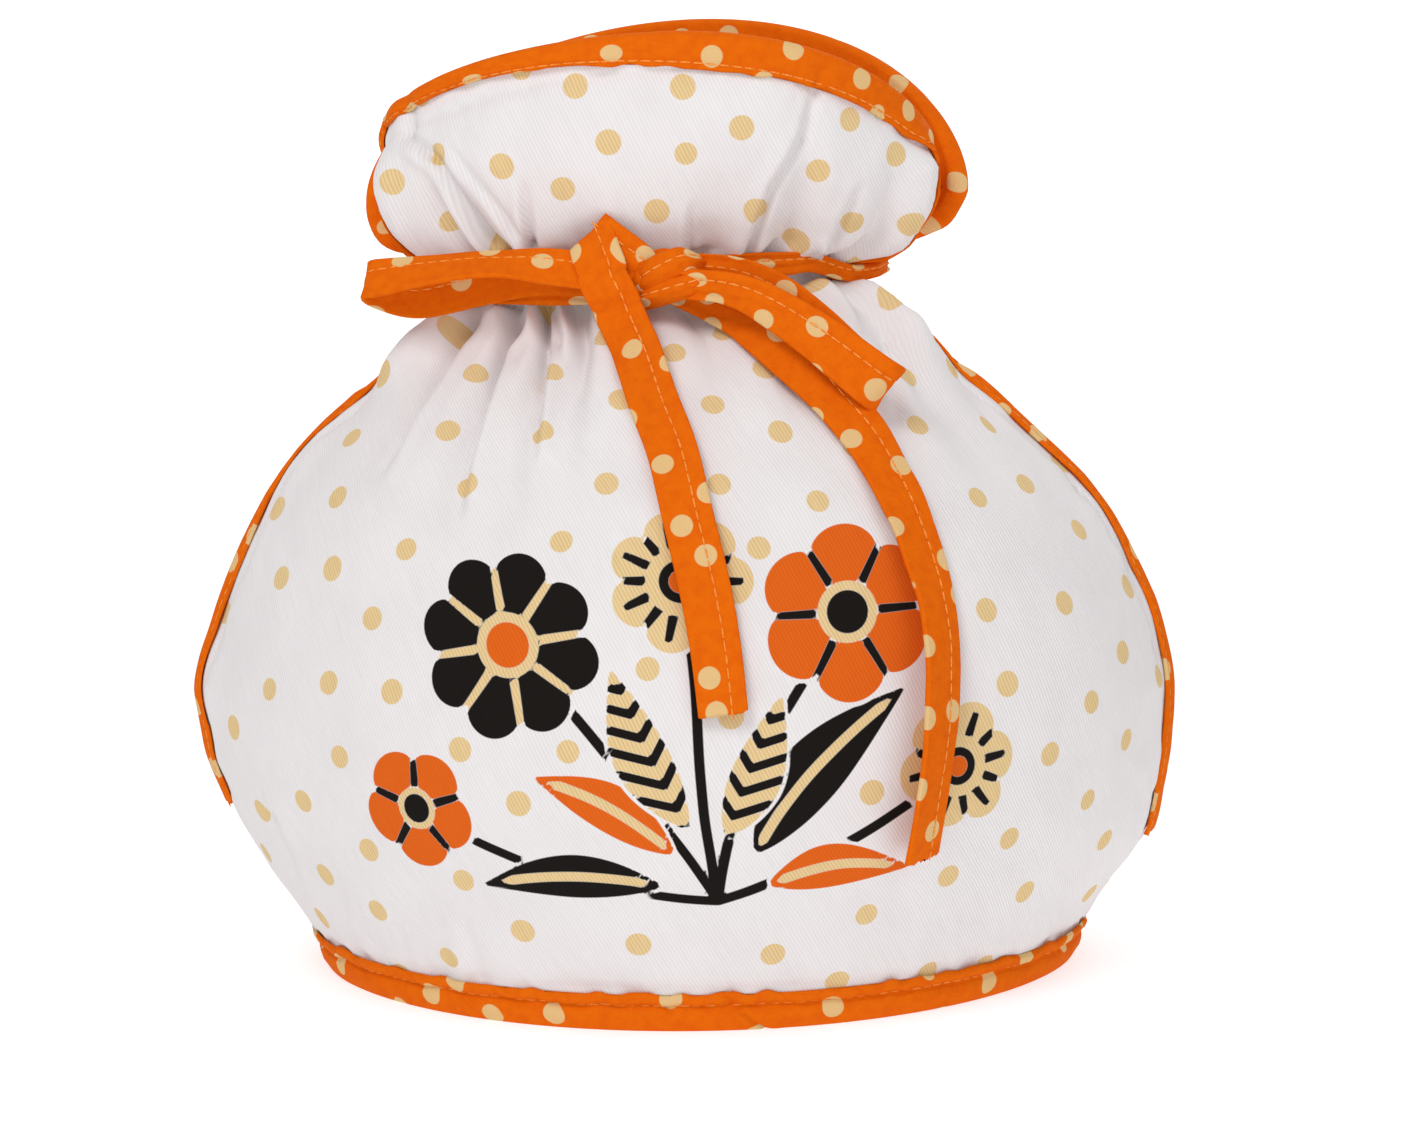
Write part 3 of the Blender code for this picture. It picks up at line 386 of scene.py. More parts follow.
LOW_WRAP = [Free(*row) for row in (
    (-13.0, 35.5, 167.6, -20.0, 0.0, 5.5), (-9.5, 40.5, 169.2, -20.0, 0.0, 6.0),
    (-3.5, 44.2, 171.4, -20.0, 0.0, 6.0), (2.5, 43.8, 173.0, -14.0, 0.0, 5.5),
    (6.5, 40.0, 173.6, -10.0, 0.0, 5.0),
)]


def smooth_step(value: Array) -> Array:
    """0 below 0, 1 above 1 and an even rise between."""
    value = np.clip(value, 0.0, 1.0)
    return value * value * (3.0 - 2.0 * value)


def unit(vectors: Array) -> Array:
    """Vectors along the last axis brought to length one."""
    return vectors / np.maximum(np.linalg.norm(vectors, axis=-1, keepdims=True), 1e-12)


def rise(value: Array, low: float, high: float) -> Array:
    """Even rise from 0 at low to 1 at high."""
    return smooth_step((value - low) / (high - low))


def stacked(*parts: Array) -> Array:
    """Arrays of one shape side by side along a new last axis."""
    return np.stack(parts, axis=-1)


def hump(off: Array, spread: float) -> Array:
    """Bell-shaped rise: 1 where off is 0, fading within the spread."""
    return np.exp(-(off / spread) ** 2)


def rounded(drop: Array, reach: float) -> Array:
    """Quarter-round rise of a tape's thickness, from 0 at its sewn edge to 1."""
    return np.sqrt(np.clip(1.0 - (1.0 - drop / reach).clip(0.0, 1.0) ** 2, 0.0, 1.0))


def placed(name: str, data: bpy.types.ID) -> bpy.types.Object:
    """New object of the scene at the origin."""
    item = bpy.data.objects.new(name, data)
    bpy.context.scene.collection.objects.link(item)
    return item


def run_lengths(points: Array) -> Array:
    """Length of the way along a row of points, from the first to each."""
    steps = np.linalg.norm(np.diff(points, axis=0), axis=-1)
    return np.concatenate([[0.0], np.cumsum(steps)])


class SmoothCurve:
    """Curve through a table's rows that doesn't overshoot between them."""

    def __init__(self, places: Sequence[float], values: Sequence[float]) -> None:
        """Work out the slope at each row.

        Args:
            places: Rising places of the rows.
            values: Value at each place.
        """
        self.places = np.asarray(places, float)
        self.values = np.asarray(values, float)
        steps = np.diff(self.values) / np.diff(self.places)
        slopes = np.zeros_like(self.values)
        slopes[0], slopes[-1] = steps[0], steps[-1]
        product = steps[:-1] * steps[1:]
        total = np.where(product > 0.0, steps[:-1] + steps[1:], 1.0)
        slopes[1:-1] = np.where(product > 0.0, 2.0 * product / total, 0.0)
        self.slopes = slopes

    def __call__(self, at: Array) -> Array:
        """Value at places, held level past both ends.

        Args:
            at: Places.

        Returns:
            Their values.
        """
        at = np.clip(at, self.places[0], self.places[-1])
        index = np.clip(np.searchsorted(self.places, at) - 1, 0, len(self.places) - 2)
        span = self.places[index + 1] - self.places[index]
        share = (at - self.places[index]) / span
        square = share * share
        cube = square * share
        return (self.values[index] * (2.0 * cube - 3.0 * square + 1.0)
                + span * self.slopes[index] * (cube - 2.0 * square + share)
                + self.values[index + 1] * (3.0 * square - 2.0 * cube)
                + span * self.slopes[index + 1] * (cube - square))


class Unevenness:
    """Smooth random wander between -1 and 1, the same on each run."""

    SIZE = 128

    def __init__(self, seed: int) -> None:
        """Draw the wander's values.

        Args:
            seed: Number that fixes the draw.
        """
        self.values = np.random.default_rng(seed).uniform(-1.0, 1.0, (self.SIZE, self.SIZE))

    def over(self, x: Array, y: Array) -> Array:
        """Value over a plane whose lumps are one unit across.

        Args:
            x: Places one way.
            y: Places the other way.

        Returns:
            The values.
        """
        left = np.floor(x).astype(int)
        low = np.floor(y).astype(int)
        right_share = smooth_step(x - left)
        high_share = smooth_step(y - low)
        near = self.values[left % self.SIZE, low % self.SIZE]
        right = self.values[(left + 1) % self.SIZE, low % self.SIZE]
        high = self.values[left % self.SIZE, (low + 1) % self.SIZE]
        far = self.values[(left + 1) % self.SIZE, (low + 1) % self.SIZE]
        below = near + (right - near) * right_share
        above = high + (far - high) * right_share
        return below + (above - below) * high_share

    def along(self, place: Array) -> Array:
        """Value along a line whose lumps are one unit long."""
        return self.over(place, np.zeros_like(place))


def wall(height: Array) -> Array:
    """Thickness of the cloth: wadded in the body, thin in the ruffle flap."""
    share = rise(height, WALL_THINS_FROM, NECK_HEIGHT)
    return WADDED_WALL + (FLAP_WALL - WADDED_WALL) * share


def plan_taper(height: Array) -> Array:
    """Power that shapes the oval's plan at a height."""
    curl = rise(height, NECK_HEIGHT, FLAP_CURLS_BY)
    return BODY_TAPER + (FLAP_TAPER - BODY_TAPER) * curl


@dataclass
class PanelShape:
    """One panel's face over across (-1 left edge, 1 right edge) and height."""

    name: str
    side: int
    sections: list[Section]
    arch: Arch
    folds: list[Fold]
    swells: list[Swell]
    creases: list[Crease]
    curl: Curl
    centre: SmoothCurve = field(init=False)
    half_width: SmoothCurve = field(init=False)
    depth: SmoothCurve = field(init=False)
    opening: SmoothCurve = field(init=False)

    def __post_init__(self) -> None:
        """Make the curves that the sections and the opening follow."""
        heights = [row.height for row in self.sections]
        self.centre = SmoothCurve(heights, [row.centre for row in self.sections])
        self.half_width = SmoothCurve(heights, [row.half_width for row in self.sections])
        self.depth = SmoothCurve(heights, [row.depth for row in self.sections])
        self.opening = SmoothCurve([row.share for row in OPENING_SHAPE],
                                   [row.half_gap for row in OPENING_SHAPE])

    def edge_turn(self, across: Array, height: Array) -> Array:
        """Angle of the side edge round the oval, on the side that across points to.

        Args:
            across: Places across, from -1 to 1.
            height: Heights.

        Returns:
            Angles from the middle.
        """
        foot = np.where(across > 0.0, RIGHT_OPENING_FOOT, LEFT_OPENING_FOOT)
        gap = self.opening((height - foot) / (NECK_HEIGHT - foot))
        return np.arccos((gap / self.depth(height)) ** (1.0 / plan_taper(height)))

    def bare(self, across: Array, height: Array) -> Array:
        """Points of the unfolded face.

        Args:
            across: Places across, from -1 to 1.
            height: Heights.

        Returns:
            The points.
        """
        across, height = np.broadcast_arrays(np.asarray(across, float), np.asarray(height, float))
        end = self.edge_turn(across, height)
        turn = across * end
        x = self.centre(height) + self.half_width(height) * np.sin(turn) / np.sin(end)
        plan = np.sign(np.cos(turn)) * np.abs(np.cos(turn)) ** plan_taper(height)
        skew = HEM_SKEW * (1.0 - smooth_step(height / HEM_SKEW_ENDS))
        tilt = NECK_TILT * (1.0 - smooth_step(np.abs(height - NECK_HEIGHT) / NECK_TILT_REACH))
        y = self.side * self.depth(height) * plan + skew * x
        return stacked(x, y, height + tilt * x)

    def steps(self, across: Array, height: Array) -> tuple[Array, Array]:
        """How the unfolded face moves with across and with height.

        Args:
            across: Places across, from -1 to 1.
            height: Heights.

        Returns:
            Both as vectors.
        """
        sideways = (self.bare(across + ACROSS_STEP, height)
                    - self.bare(across - ACROSS_STEP, height)) / (2.0 * ACROSS_STEP)
        upwards = (self.bare(across, height + HEIGHT_STEP)
                   - self.bare(across, height - HEIGHT_STEP)) / (2.0 * HEIGHT_STEP)
        return sideways, upwards

    def normal(self, across: Array, height: Array) -> Array:
        """Outward directions of the unfolded face."""
        sideways, upwards = self.steps(across, height)
        return unit(np.cross(sideways, upwards) * -self.side)

    def fold_relief(self, fold: Fold, across: Array, height: Array) -> Array:
        """How far one fold moves the cloth outwards.

        Args:
            fold: The fold.
            across: Places across, from -1 to 1.
            height: Heights.

        Returns:
            Millimetres outwards.
        """
        along = (height - NECK_HEIGHT) / (fold.end_height - NECK_HEIGHT)
        past = np.abs(height - NECK_HEIGHT) / PINCH_REACH
        opening = NECK_PINCH + (1.0 - NECK_PINCH) * smooth_step(along / FOLD_OPENS_BY)
        fading = np.clip(1.0 - along, 0.0, 1.0) ** FOLD_FADING
        strength = np.where(along < 0.0, NECK_PINCH * np.exp(-past * past), opening * fading)
        middle = fold.at_neck + (fold.at_end - fold.at_neck) * np.maximum(0.0, along)
        off = (across - middle) / fold.width
        return -strength * fold.depth * (1.0 - 0.5 * off * off) * np.exp(-0.5 * off * off)

    def crease_relief(self, crease: Crease, points: Array) -> Array:
        """How far one crease moves the cloth outwards: a trough with a ridge on its left.

        Args:
            crease: The crease.
            points: Points of the unfolded face.

        Returns:
            Millimetres outwards.
        """
        route = np.array(crease.route)
        lengths = run_lengths(route)
        plan = points[..., [0, 2]]
        nearest = np.full(plan.shape[:-1], FAR)
        signed = nearest.copy()
        share = np.zeros(plan.shape[:-1])
        for start, end, done in zip(route, route[1:], lengths):
            run = end - start
            along = np.clip((plan - start) @ run / (run @ run), 0.0, 1.0)
            away = plan - start - along[..., None] * run
            off = np.linalg.norm(away, axis=-1)
            closer = off < nearest
            nearest = np.where(closer, off, nearest)
            side = np.sign(run[0] * away[..., 1] - run[1] * away[..., 0])
            signed = np.where(closer, off * side, signed)
            way = (done + along * np.linalg.norm(run)) / lengths[-1]
            share = np.where(closer, way, share)
        strength = np.clip(1.0 - share, 0.0, 1.0) ** CREASE_FADING
        trough = hump(nearest, crease.width)
        ridge = hump(signed - RIDGE_OFF * crease.width, RIDGE_WIDTH * crease.width)
        return crease.depth * strength * (CREASE_RIDGE * ridge - trough)

    def curl_relief(self, across: Array, height: Array) -> Array:
        """How far the curl of the side edges moves the cloth outwards.

        Args:
            across: Places across, from -1 to 1.
            height: Heights.

        Returns:
            Millimetres outwards.
        """
        sideways, _ = self.steps(across, height)
        inwards = (1.0 - np.abs(across)) * np.linalg.norm(sideways, axis=-1)
        starts_at = np.where(across > 0.0, RIGHT_CURL_FROM, LEFT_CURL_FROM)
        reach = (smooth_step((height - starts_at) / CURL_FADES)
                 * (1.0 - smooth_step((height - self.curl.ends_at) / CURL_FADES)))
        crest = np.where(height > NECK_HEIGHT, self.curl.flap_crest, self.curl.body_crest)
        crest = crest * (1.0 - hump(height - NECK_HEIGHT, NECK_REACH))
        bulge = crest * hump(inwards - CREST_AT, CREST_SPREAD)
        return reach * (bulge - self.curl.turn_in * (1.0 - smooth_step(inwards / TURN_REACH)))

    def relief(self, across: Array, height: Array) -> Array:
        """How far folds, swells and creases move the cloth outwards.

        Args:
            across: Places across, from -1 to 1.
            height: Heights.

        Returns:
            Millimetres outwards.
        """
        total = np.zeros(np.broadcast_shapes(np.shape(across), np.shape(height)))
        for fold in self.folds:
            total = total + self.fold_relief(fold, across, height)
        for swell in self.swells:
            off_across = (across - swell.across) / swell.spread_across
            off_height = (height - swell.height) / swell.spread_height
            total = total + swell.push * np.exp(-off_across ** 2 - off_height ** 2)
        points = self.bare(across, height)
        for crease in self.creases:
            total = total + self.crease_relief(crease, points)
        total = total + self.curl_relief(across, height)
        return total * rise(height, CALM_HEM_FROM, CALM_HEM_TO)

    def point(self, across: Array, height: Array, proud: Array | float = 0.0) -> Array:
        """Points so far proud of the folded cloth's outer face."""
        lift = self.relief(across, height) + proud
        return self.bare(across, height) + self.normal(across, height) * lift[..., None]

    def across_at(self, x: Array, height: Array) -> Array:
        """The across value of an x at a height.

        Args:
            x: Where on the x axis.
            height: Heights.

        Returns:
            Places across.
        """
        end = self.edge_turn(x - self.centre(height), height)
        sine = (x - self.centre(height)) / self.half_width(height) * np.sin(end)
        return np.arcsin(np.clip(sine, -1.0, 1.0)) / end

    def arch_places(self, angles: Array) -> Array:
        """(across, height) on the flap's arched top edge; angle 0 is its middle.

        Args:
            angles: Angles along the arch.

        Returns:
            The places.
        """
        base = np.full_like(angles, self.arch.base)
        power = np.where(angles < 0.0, self.arch.left_power, 1.0)
        crown = self.arch.rise + self.arch.lean * np.sin(angles)
        height = base + crown * np.cos(angles) ** power
        x = self.centre(base) + self.half_width(base) * np.sin(angles)
        return stacked(self.across_at(x, height), height)

    def flap_side(self, side: float, rows: int) -> Array:
        """(across, height) up a flap's side edge, from the neck to the arch's corner.

        Args:
            side: -1 for the left edge, 1 for the right.
            rows: Steps up it.

        Returns:
            The places.
        """
        corner = self.arch_places(np.array([side * ARCH_CORNER]))[0, 1]
        height = np.linspace(NECK_HEIGHT, corner, rows + 1)
        crown = self.arch.rise + self.arch.lean * side * math.sin(ARCH_CORNER)
        power = self.arch.left_power if side < 0.0 else 1.0
        above = np.clip((height - self.arch.base) / crown, 0.0, 1.0) ** (1.0 / power)
        base = np.full_like(height, self.arch.base)
        x = self.centre(base) + self.half_width(base) * side * np.sin(np.arccos(above))
        across = np.where(height > self.arch.base, self.across_at(x, height), side)
        return stacked(across, height)

    def flap_outline(self, rows: int, columns: int) -> tuple[Array, Array, Array]:
        """The flap's left side, arched top and right side as (across, height) rows."""
        angles = np.linspace(-ARCH_CORNER, ARCH_CORNER, columns + 1)
        return self.flap_side(-1.0, rows), self.arch_places(angles), self.flap_side(1.0, rows)

    def inward_rate(self, path: Array) -> Array:
        """Change of (across, height) for each millimetre inwards from a path on the face.

        Args:
            path: Places along the path.

        Returns:
            The change at each place.
        """
        across, height = path[:, 0], path[:, 1]
        points = self.bare(across, height)
        run = unit(np.gradient(points, axis=0))
        inwards = unit(np.cross(run, self.normal(across, height)) * -self.side)
        sideways, upwards = self.steps(across, height)
        side_square = np.sum(sideways * sideways, axis=-1)
        shear = np.sum(sideways * upwards, axis=-1)
        up_square = np.sum(upwards * upwards, axis=-1)
        in_side = np.sum(sideways * inwards, axis=-1)
        in_up = np.sum(upwards * inwards, axis=-1)
        area = side_square * up_square - shear * shear
        across_rate = (in_side * up_square - in_up * shear) / area
        height_rate = (in_up * side_square - in_side * shear) / area
        return stacked(across_rate, height_rate)

    def free_edge(self, step: float) -> Array:
        """Even stations round the free edge, from the left opening's foot to the right's.

        Args:
            step: About how far apart the stations are.

        Returns:
            (across, height) of each station.
        """
        fine = EDGE_SAMPLES
        left, top, right = self.flap_outline(fine, fine)
        climb = np.linspace(LEFT_OPENING_FOOT + BINDING_STARTS_ABOVE, NECK_HEIGHT, fine)[:-1]
        fall = np.linspace(NECK_HEIGHT, RIGHT_OPENING_FOOT + BINDING_STARTS_ABOVE, fine)[1:]
        path = np.concatenate([
            stacked(np.full_like(climb, -1.0), climb), left[:-1], top[:-1], right[::-1],
            stacked(np.full_like(fall, 1.0), fall)])
        way = run_lengths(self.bare(path[:, 0], path[:, 1]))
        even = np.linspace(0.0, way[-1], round(way[-1] / step) + 1)
        return np.stack([np.interp(even, way, places) for places in path.T], axis=-1)

    def flat_places(self, across: Array, height: Array) -> Array:
        """Where places lie on the cloth laid flat: (from the middle, up from the hem).

        Args:
            across: Places across, from -1 to 1.
            height: Heights.

        Returns:
            The flat places in millimetres.
        """
        total = np.zeros_like(across)
        before = self.bare(np.zeros_like(across), height)
        for part in range(1, FLAT_PARTS + 1):
            after = self.bare(across * part / FLAT_PARTS, height)
            total += np.linalg.norm(after - before, axis=-1)
            before = after
        levels = np.linspace(0.0, self.sections[-1].height, FLAT_LEVELS)
        climb = run_lengths(self.bare(np.zeros_like(levels), levels))
        return stacked(np.sign(across) * total, np.interp(height, levels, climb))


FRONT = PanelShape("front", -1, FRONT_SECTIONS, Arch(194.0, 36.8, 3.5, 0.70),
                   FRONT_FOLDS, FRONT_SWELLS, FRONT_CREASES, Curl(6.0, 3.4, 3.8, 196.0))
BACK = PanelShape("back", 1, BACK_SECTIONS, Arch(190.0, 39.4, 6.5, 1.0),
                  BACK_FOLDS, BACK_SWELLS, BACK_CREASES, Curl(4.4, 0.0, 0.0, 172.0))


def blend_patch(bottom: Array, left: Array, top: Array, right: Array) -> Array:
    """Grid of places between four edges that share their corners.

    Args:
        bottom: Places along the lower edge, left to right.
        left: Places up the left edge.
        top: Places along the upper edge, left to right.
        right: Places up the right edge.

    Returns:
        Places of shape (rows, columns, 2), the lower edge first.
    """
    up = np.linspace(0.0, 1.0, len(left))[:, None, None]
    over = (bottom[:, 0] - bottom[0, 0]) / (bottom[-1, 0] - bottom[0, 0])
    over = over[None, :, None]
    edges = ((1.0 - up) * bottom[None] + up * top[None]
             + (1.0 - over) * left[:, None] + over * right[:, None])
    corners = ((1.0 - over) * ((1.0 - up) * bottom[0] + up * top[0])
               + over * ((1.0 - up) * bottom[-1] + up * top[-1]))
    return edges - corners


def grid_faces(index: Array) -> Array:
    """Four-sided faces between a grid's points."""
    faces = stacked(index[:-1, :-1], index[:-1, 1:], index[1:, 1:], index[1:, :-1])
    return faces.reshape(-1, 4)


def grid_rim(index: Array) -> Array:
    """A grid's border points in turn."""
    return np.concatenate([index[0, :], index[1:, -1], index[-1, -2::-1], index[-2:0:-1, 0]])


def shell_faces(rows: int, columns: int) -> list[list[int]]:
    """Faces of a closed sheet whose inner grid has every other point of its outer grid.

    Args:
        rows: Rows of the outer grid, an odd number.
        columns: Columns of the outer grid, an odd number.

    Returns:
        Faces of the outer grid, the inner grid that follows it, and the rim.
    """
    outer = np.arange(rows * columns).reshape(rows, columns)
    inner_shape = (rows // 2 + 1, columns // 2 + 1)
    inner = np.arange(inner_shape[0] * inner_shape[1]).reshape(inner_shape) + outer.size
    near = grid_rim(outer)
    far = grid_rim(inner)
    sides = stacked(near[0::2], far, np.roll(far, -1), np.roll(near, -2)[0::2], near[1::2])
    return grid_faces(outer).tolist() + grid_faces(inner)[:, ::-1].tolist() + sides.tolist()


def tube_faces(stations: int, size: int, closed: bool) -> list[list[int]]:
    """Faces of a tube through rows of section points, capped unless it closes on itself.

    Args:
        stations: Rows of points.
        size: Points in a row.
        closed: Whether the last row meets the first.

    Returns:
        The faces.
    """
    index = np.arange(stations * size).reshape(stations, size)
    if closed:
        index = np.concatenate([index, index[:1]])
    over = np.roll(index, -1, axis=1)
    quads = stacked(index[:-1], over[:-1], over[1:], index[1:]).reshape(-1, 4)
    faces = quads.tolist()
    if not closed:
        faces.append(index[0, ::-1].tolist())
        faces.append(index[-1].tolist())
    return faces


@dataclass
class ClothMesh:
    """Points, faces and flat places of cloth, gathered before they become a piece."""

    points: list[Array] = field(default_factory=list)
    faces: list[list[int]] = field(default_factory=list)
    flat: list[Array] = field(default_factory=list)
    count: int = 0

    def add(self, points: Array, faces: Sequence[Sequence[int]], flat: Array) -> None:
        """Add a closed body.

        Args:
            points: Its points in millimetres.
            faces: Its faces, counted from its own first point.
            flat: Its places on the flat cloth in millimetres.
        """
        self.points.append(points.reshape(-1, 3))
        self.flat.append(flat.reshape(-1, 2))
        self.faces.extend([index + self.count for index in face] for face in faces)
        self.count += len(self.points[-1])

    def piece(self, name: str, attributes: dict[str, Array] | None = None) -> bpy.types.Object:
        """Make the piece, in metres, with its faces outwards.

        Args:
            name: Name of the piece.
            attributes: Values for each point, by attribute name.

        Returns:
            The new object at the origin.
        """
        mesh = bpy.data.meshes.new(name)
        points = np.concatenate(self.points) * MM
        mesh.from_pydata(points.tolist(), [], self.faces)
        shape = bmesh.new()
        shape.from_mesh(mesh)
        bmesh.ops.recalc_face_normals(shape, faces=shape.faces)
        shape.to_mesh(mesh)
        shape.free()
        corners = np.zeros(len(mesh.loops), np.int32)
        mesh.loops.foreach_get("vertex_index", corners)
        layer = mesh.uv_layers.new(name=FLAT_MAP)
        flat = (np.concatenate(self.flat) * MM)[corners]
        layer.data.foreach_set("uv", flat.astype(np.float32).ravel())
        for key, values in (attributes or {}).items():
            store = mesh.attributes.new(key, "FLOAT", "POINT")
            store.data.foreach_set("value", values.astype(np.float32))
        mesh.shade_smooth()
        return placed(name, mesh)


class Wiring:
    """A material's nodes, made and joined a step at a time."""

    def __init__(self, name: str) -> None:
        """Start a Principled material of that name."""
        self.material = bpy.data.materials.new(name)
        self.material.use_nodes = True
        self.tree = self.material.node_tree
        self.shader = self.tree.nodes["Principled BSDF"]

    def node(self, kind: str, settings: dict[str, object] | None = None,
             **inputs: object) -> bpy.types.Node:
        """Add a node.

        Args:
            kind: Blender's name of the node's type.
            settings: The node's own properties.
            inputs: A value or an output socket for each input; _ stands for a space.

        Returns:
            The new node.
        """
        node = self.tree.nodes.new(kind)
        for key, value in (settings or {}).items():
            setattr(node, key, value)
        for key, value in inputs.items():
            self.feed(node.inputs[key.replace("_", " ")], value)
        return node

    def feed(self, socket: Socket, value: object) -> None:
        """Join an output to a socket, or set the socket's own value.

        Args:
            socket: The input.
            value: A value or an output socket.
        """
        if isinstance(value, Socket):
            self.tree.links.new(value, socket)
        else:
            socket.default_value = value

    def math(self, operation: str, first: object, second: object = 0.0) -> Socket:
        """Output of one sum on two values.

        Args:
            operation: Blender's name of the sum.
            first: A value or a socket.
            second: Another.

        Returns:
            The output socket.
        """
        node = self.tree.nodes.new("ShaderNodeMath")
        node.operation = operation
        self.feed(node.inputs[0], first)
        self.feed(node.inputs[1], second)
        return node.outputs[0]

    def ramp(self, value: object, low: float, high: float, to_low: float = 0.0,
             to_high: float = 1.0) -> Socket:
        """Value moved smoothly from one range to another."""
        node = self.node("ShaderNodeMapRange", {"interpolation_type": "SMOOTHSTEP"}, Value=value,
                         From_Min=low, From_Max=high, To_Min=to_low, To_Max=to_high)
        return node.outputs["Result"]

    def mix(self, share: object, first: object, second: object, blend: str = "MIX") -> Socket:
        """Mix of two colours.

        Args:
            share: How much of the second shows.
            first: A colour or a socket.
            second: Another.
            blend: Blender's name of the way they mix.

        Returns:
            The mixed colour.
        """
        node = self.tree.nodes.new("ShaderNodeMix")
        node.data_type = "RGBA"
        node.blend_type = blend
        colours = [socket for socket in node.inputs if socket.type == "RGBA"]
        self.feed(node.inputs[0], share)
        self.feed(colours[0], first)
        self.feed(colours[1], second)
        return next(socket for socket in node.outputs if socket.type == "RGBA")

    def flat_map(self, turn: float = 0.0) -> Socket:
        """Place on the flat cloth in metres, turned by an angle.

        Args:
            turn: The angle.

        Returns:
            The place.
        """
        places = self.node("ShaderNodeUVMap", {"uv_map": FLAT_MAP})
        turned = self.node("ShaderNodeMapping", Vector=places.outputs["UV"],
                           Rotation=(0.0, 0.0, turn))
        return turned.outputs["Vector"]

    def lines(self, places: Socket, pitch: float, wander: float) -> Socket:
        """Even lines across the first axis of places, one for each pitch in metres."""
        wave = self.node("ShaderNodeTexWave", {"wave_type": "BANDS", "bands_direction": "X"},
                         Vector=places, Scale=WAVE_REPEAT / pitch,
                         Distortion=wander, Detail=2.0, Detail_Scale=0.6)
        return wave.outputs["Fac"]

    def streaks(self, places: Socket, width: float, length: float) -> Socket:
        """Uneven streaks that run along the second axis of places.

        Args:
            places: Where each point lies.
            width: Width of a streak.
            length: Its length.

        Returns:
            Their strength, from 0 to 1.
        """
        stretched = self.node("ShaderNodeMapping", Vector=places,
                              Scale=(1.0 / width, 1.0 / length, 1.0))
        noise = self.node("ShaderNodeTexNoise", Vector=stretched.outputs["Vector"], Scale=1.0,
                          Detail=1.0)
        return noise.outputs["Fac"]

    def clouds(self, places: Socket, size: float, detail: float = 2.0) -> Socket:
        """Soft clouds of a size in metres."""
        noise = self.node("ShaderNodeTexNoise", Vector=places, Scale=1.0 / size, Detail=detail)
        return noise.outputs["Fac"]

    def bump(self, height: object, distance: float, strength: float,
             under: Socket | None = None) -> Socket:
        """Normal raised by a height, over another normal where given.

        Args:
            height: Height, from 0 to 1.
            distance: Depth of the relief in metres.
            strength: Share of it that shows.
            under: The other normal.

        Returns:
            The normal.
        """
        node = self.node("ShaderNodeBump", Height=height, Distance=distance, Strength=strength)
        if under is not None:
            self.feed(node.inputs["Normal"], under)
        return node.outputs["Normal"]

    def finish(self, roughness: float, gloss: float, sheen: float = 0.0,
               **inputs: object) -> bpy.types.Material:
        """Set the shader's own values and join the rest.

        Args:
            roughness: The shader's roughness.
            gloss: Its specular level.
            sheen: Its sheen weight.
            inputs: A value or an output socket for each other input; _ stands for a space.

        Returns:
            The finished material.
        """
        own = {"Roughness": roughness, "Specular IOR Level": gloss, "Sheen Weight": sheen}
        for key, value in (own | inputs).items():
            self.feed(self.shader.inputs[key.replace("_", " ")], value)
        return self.material


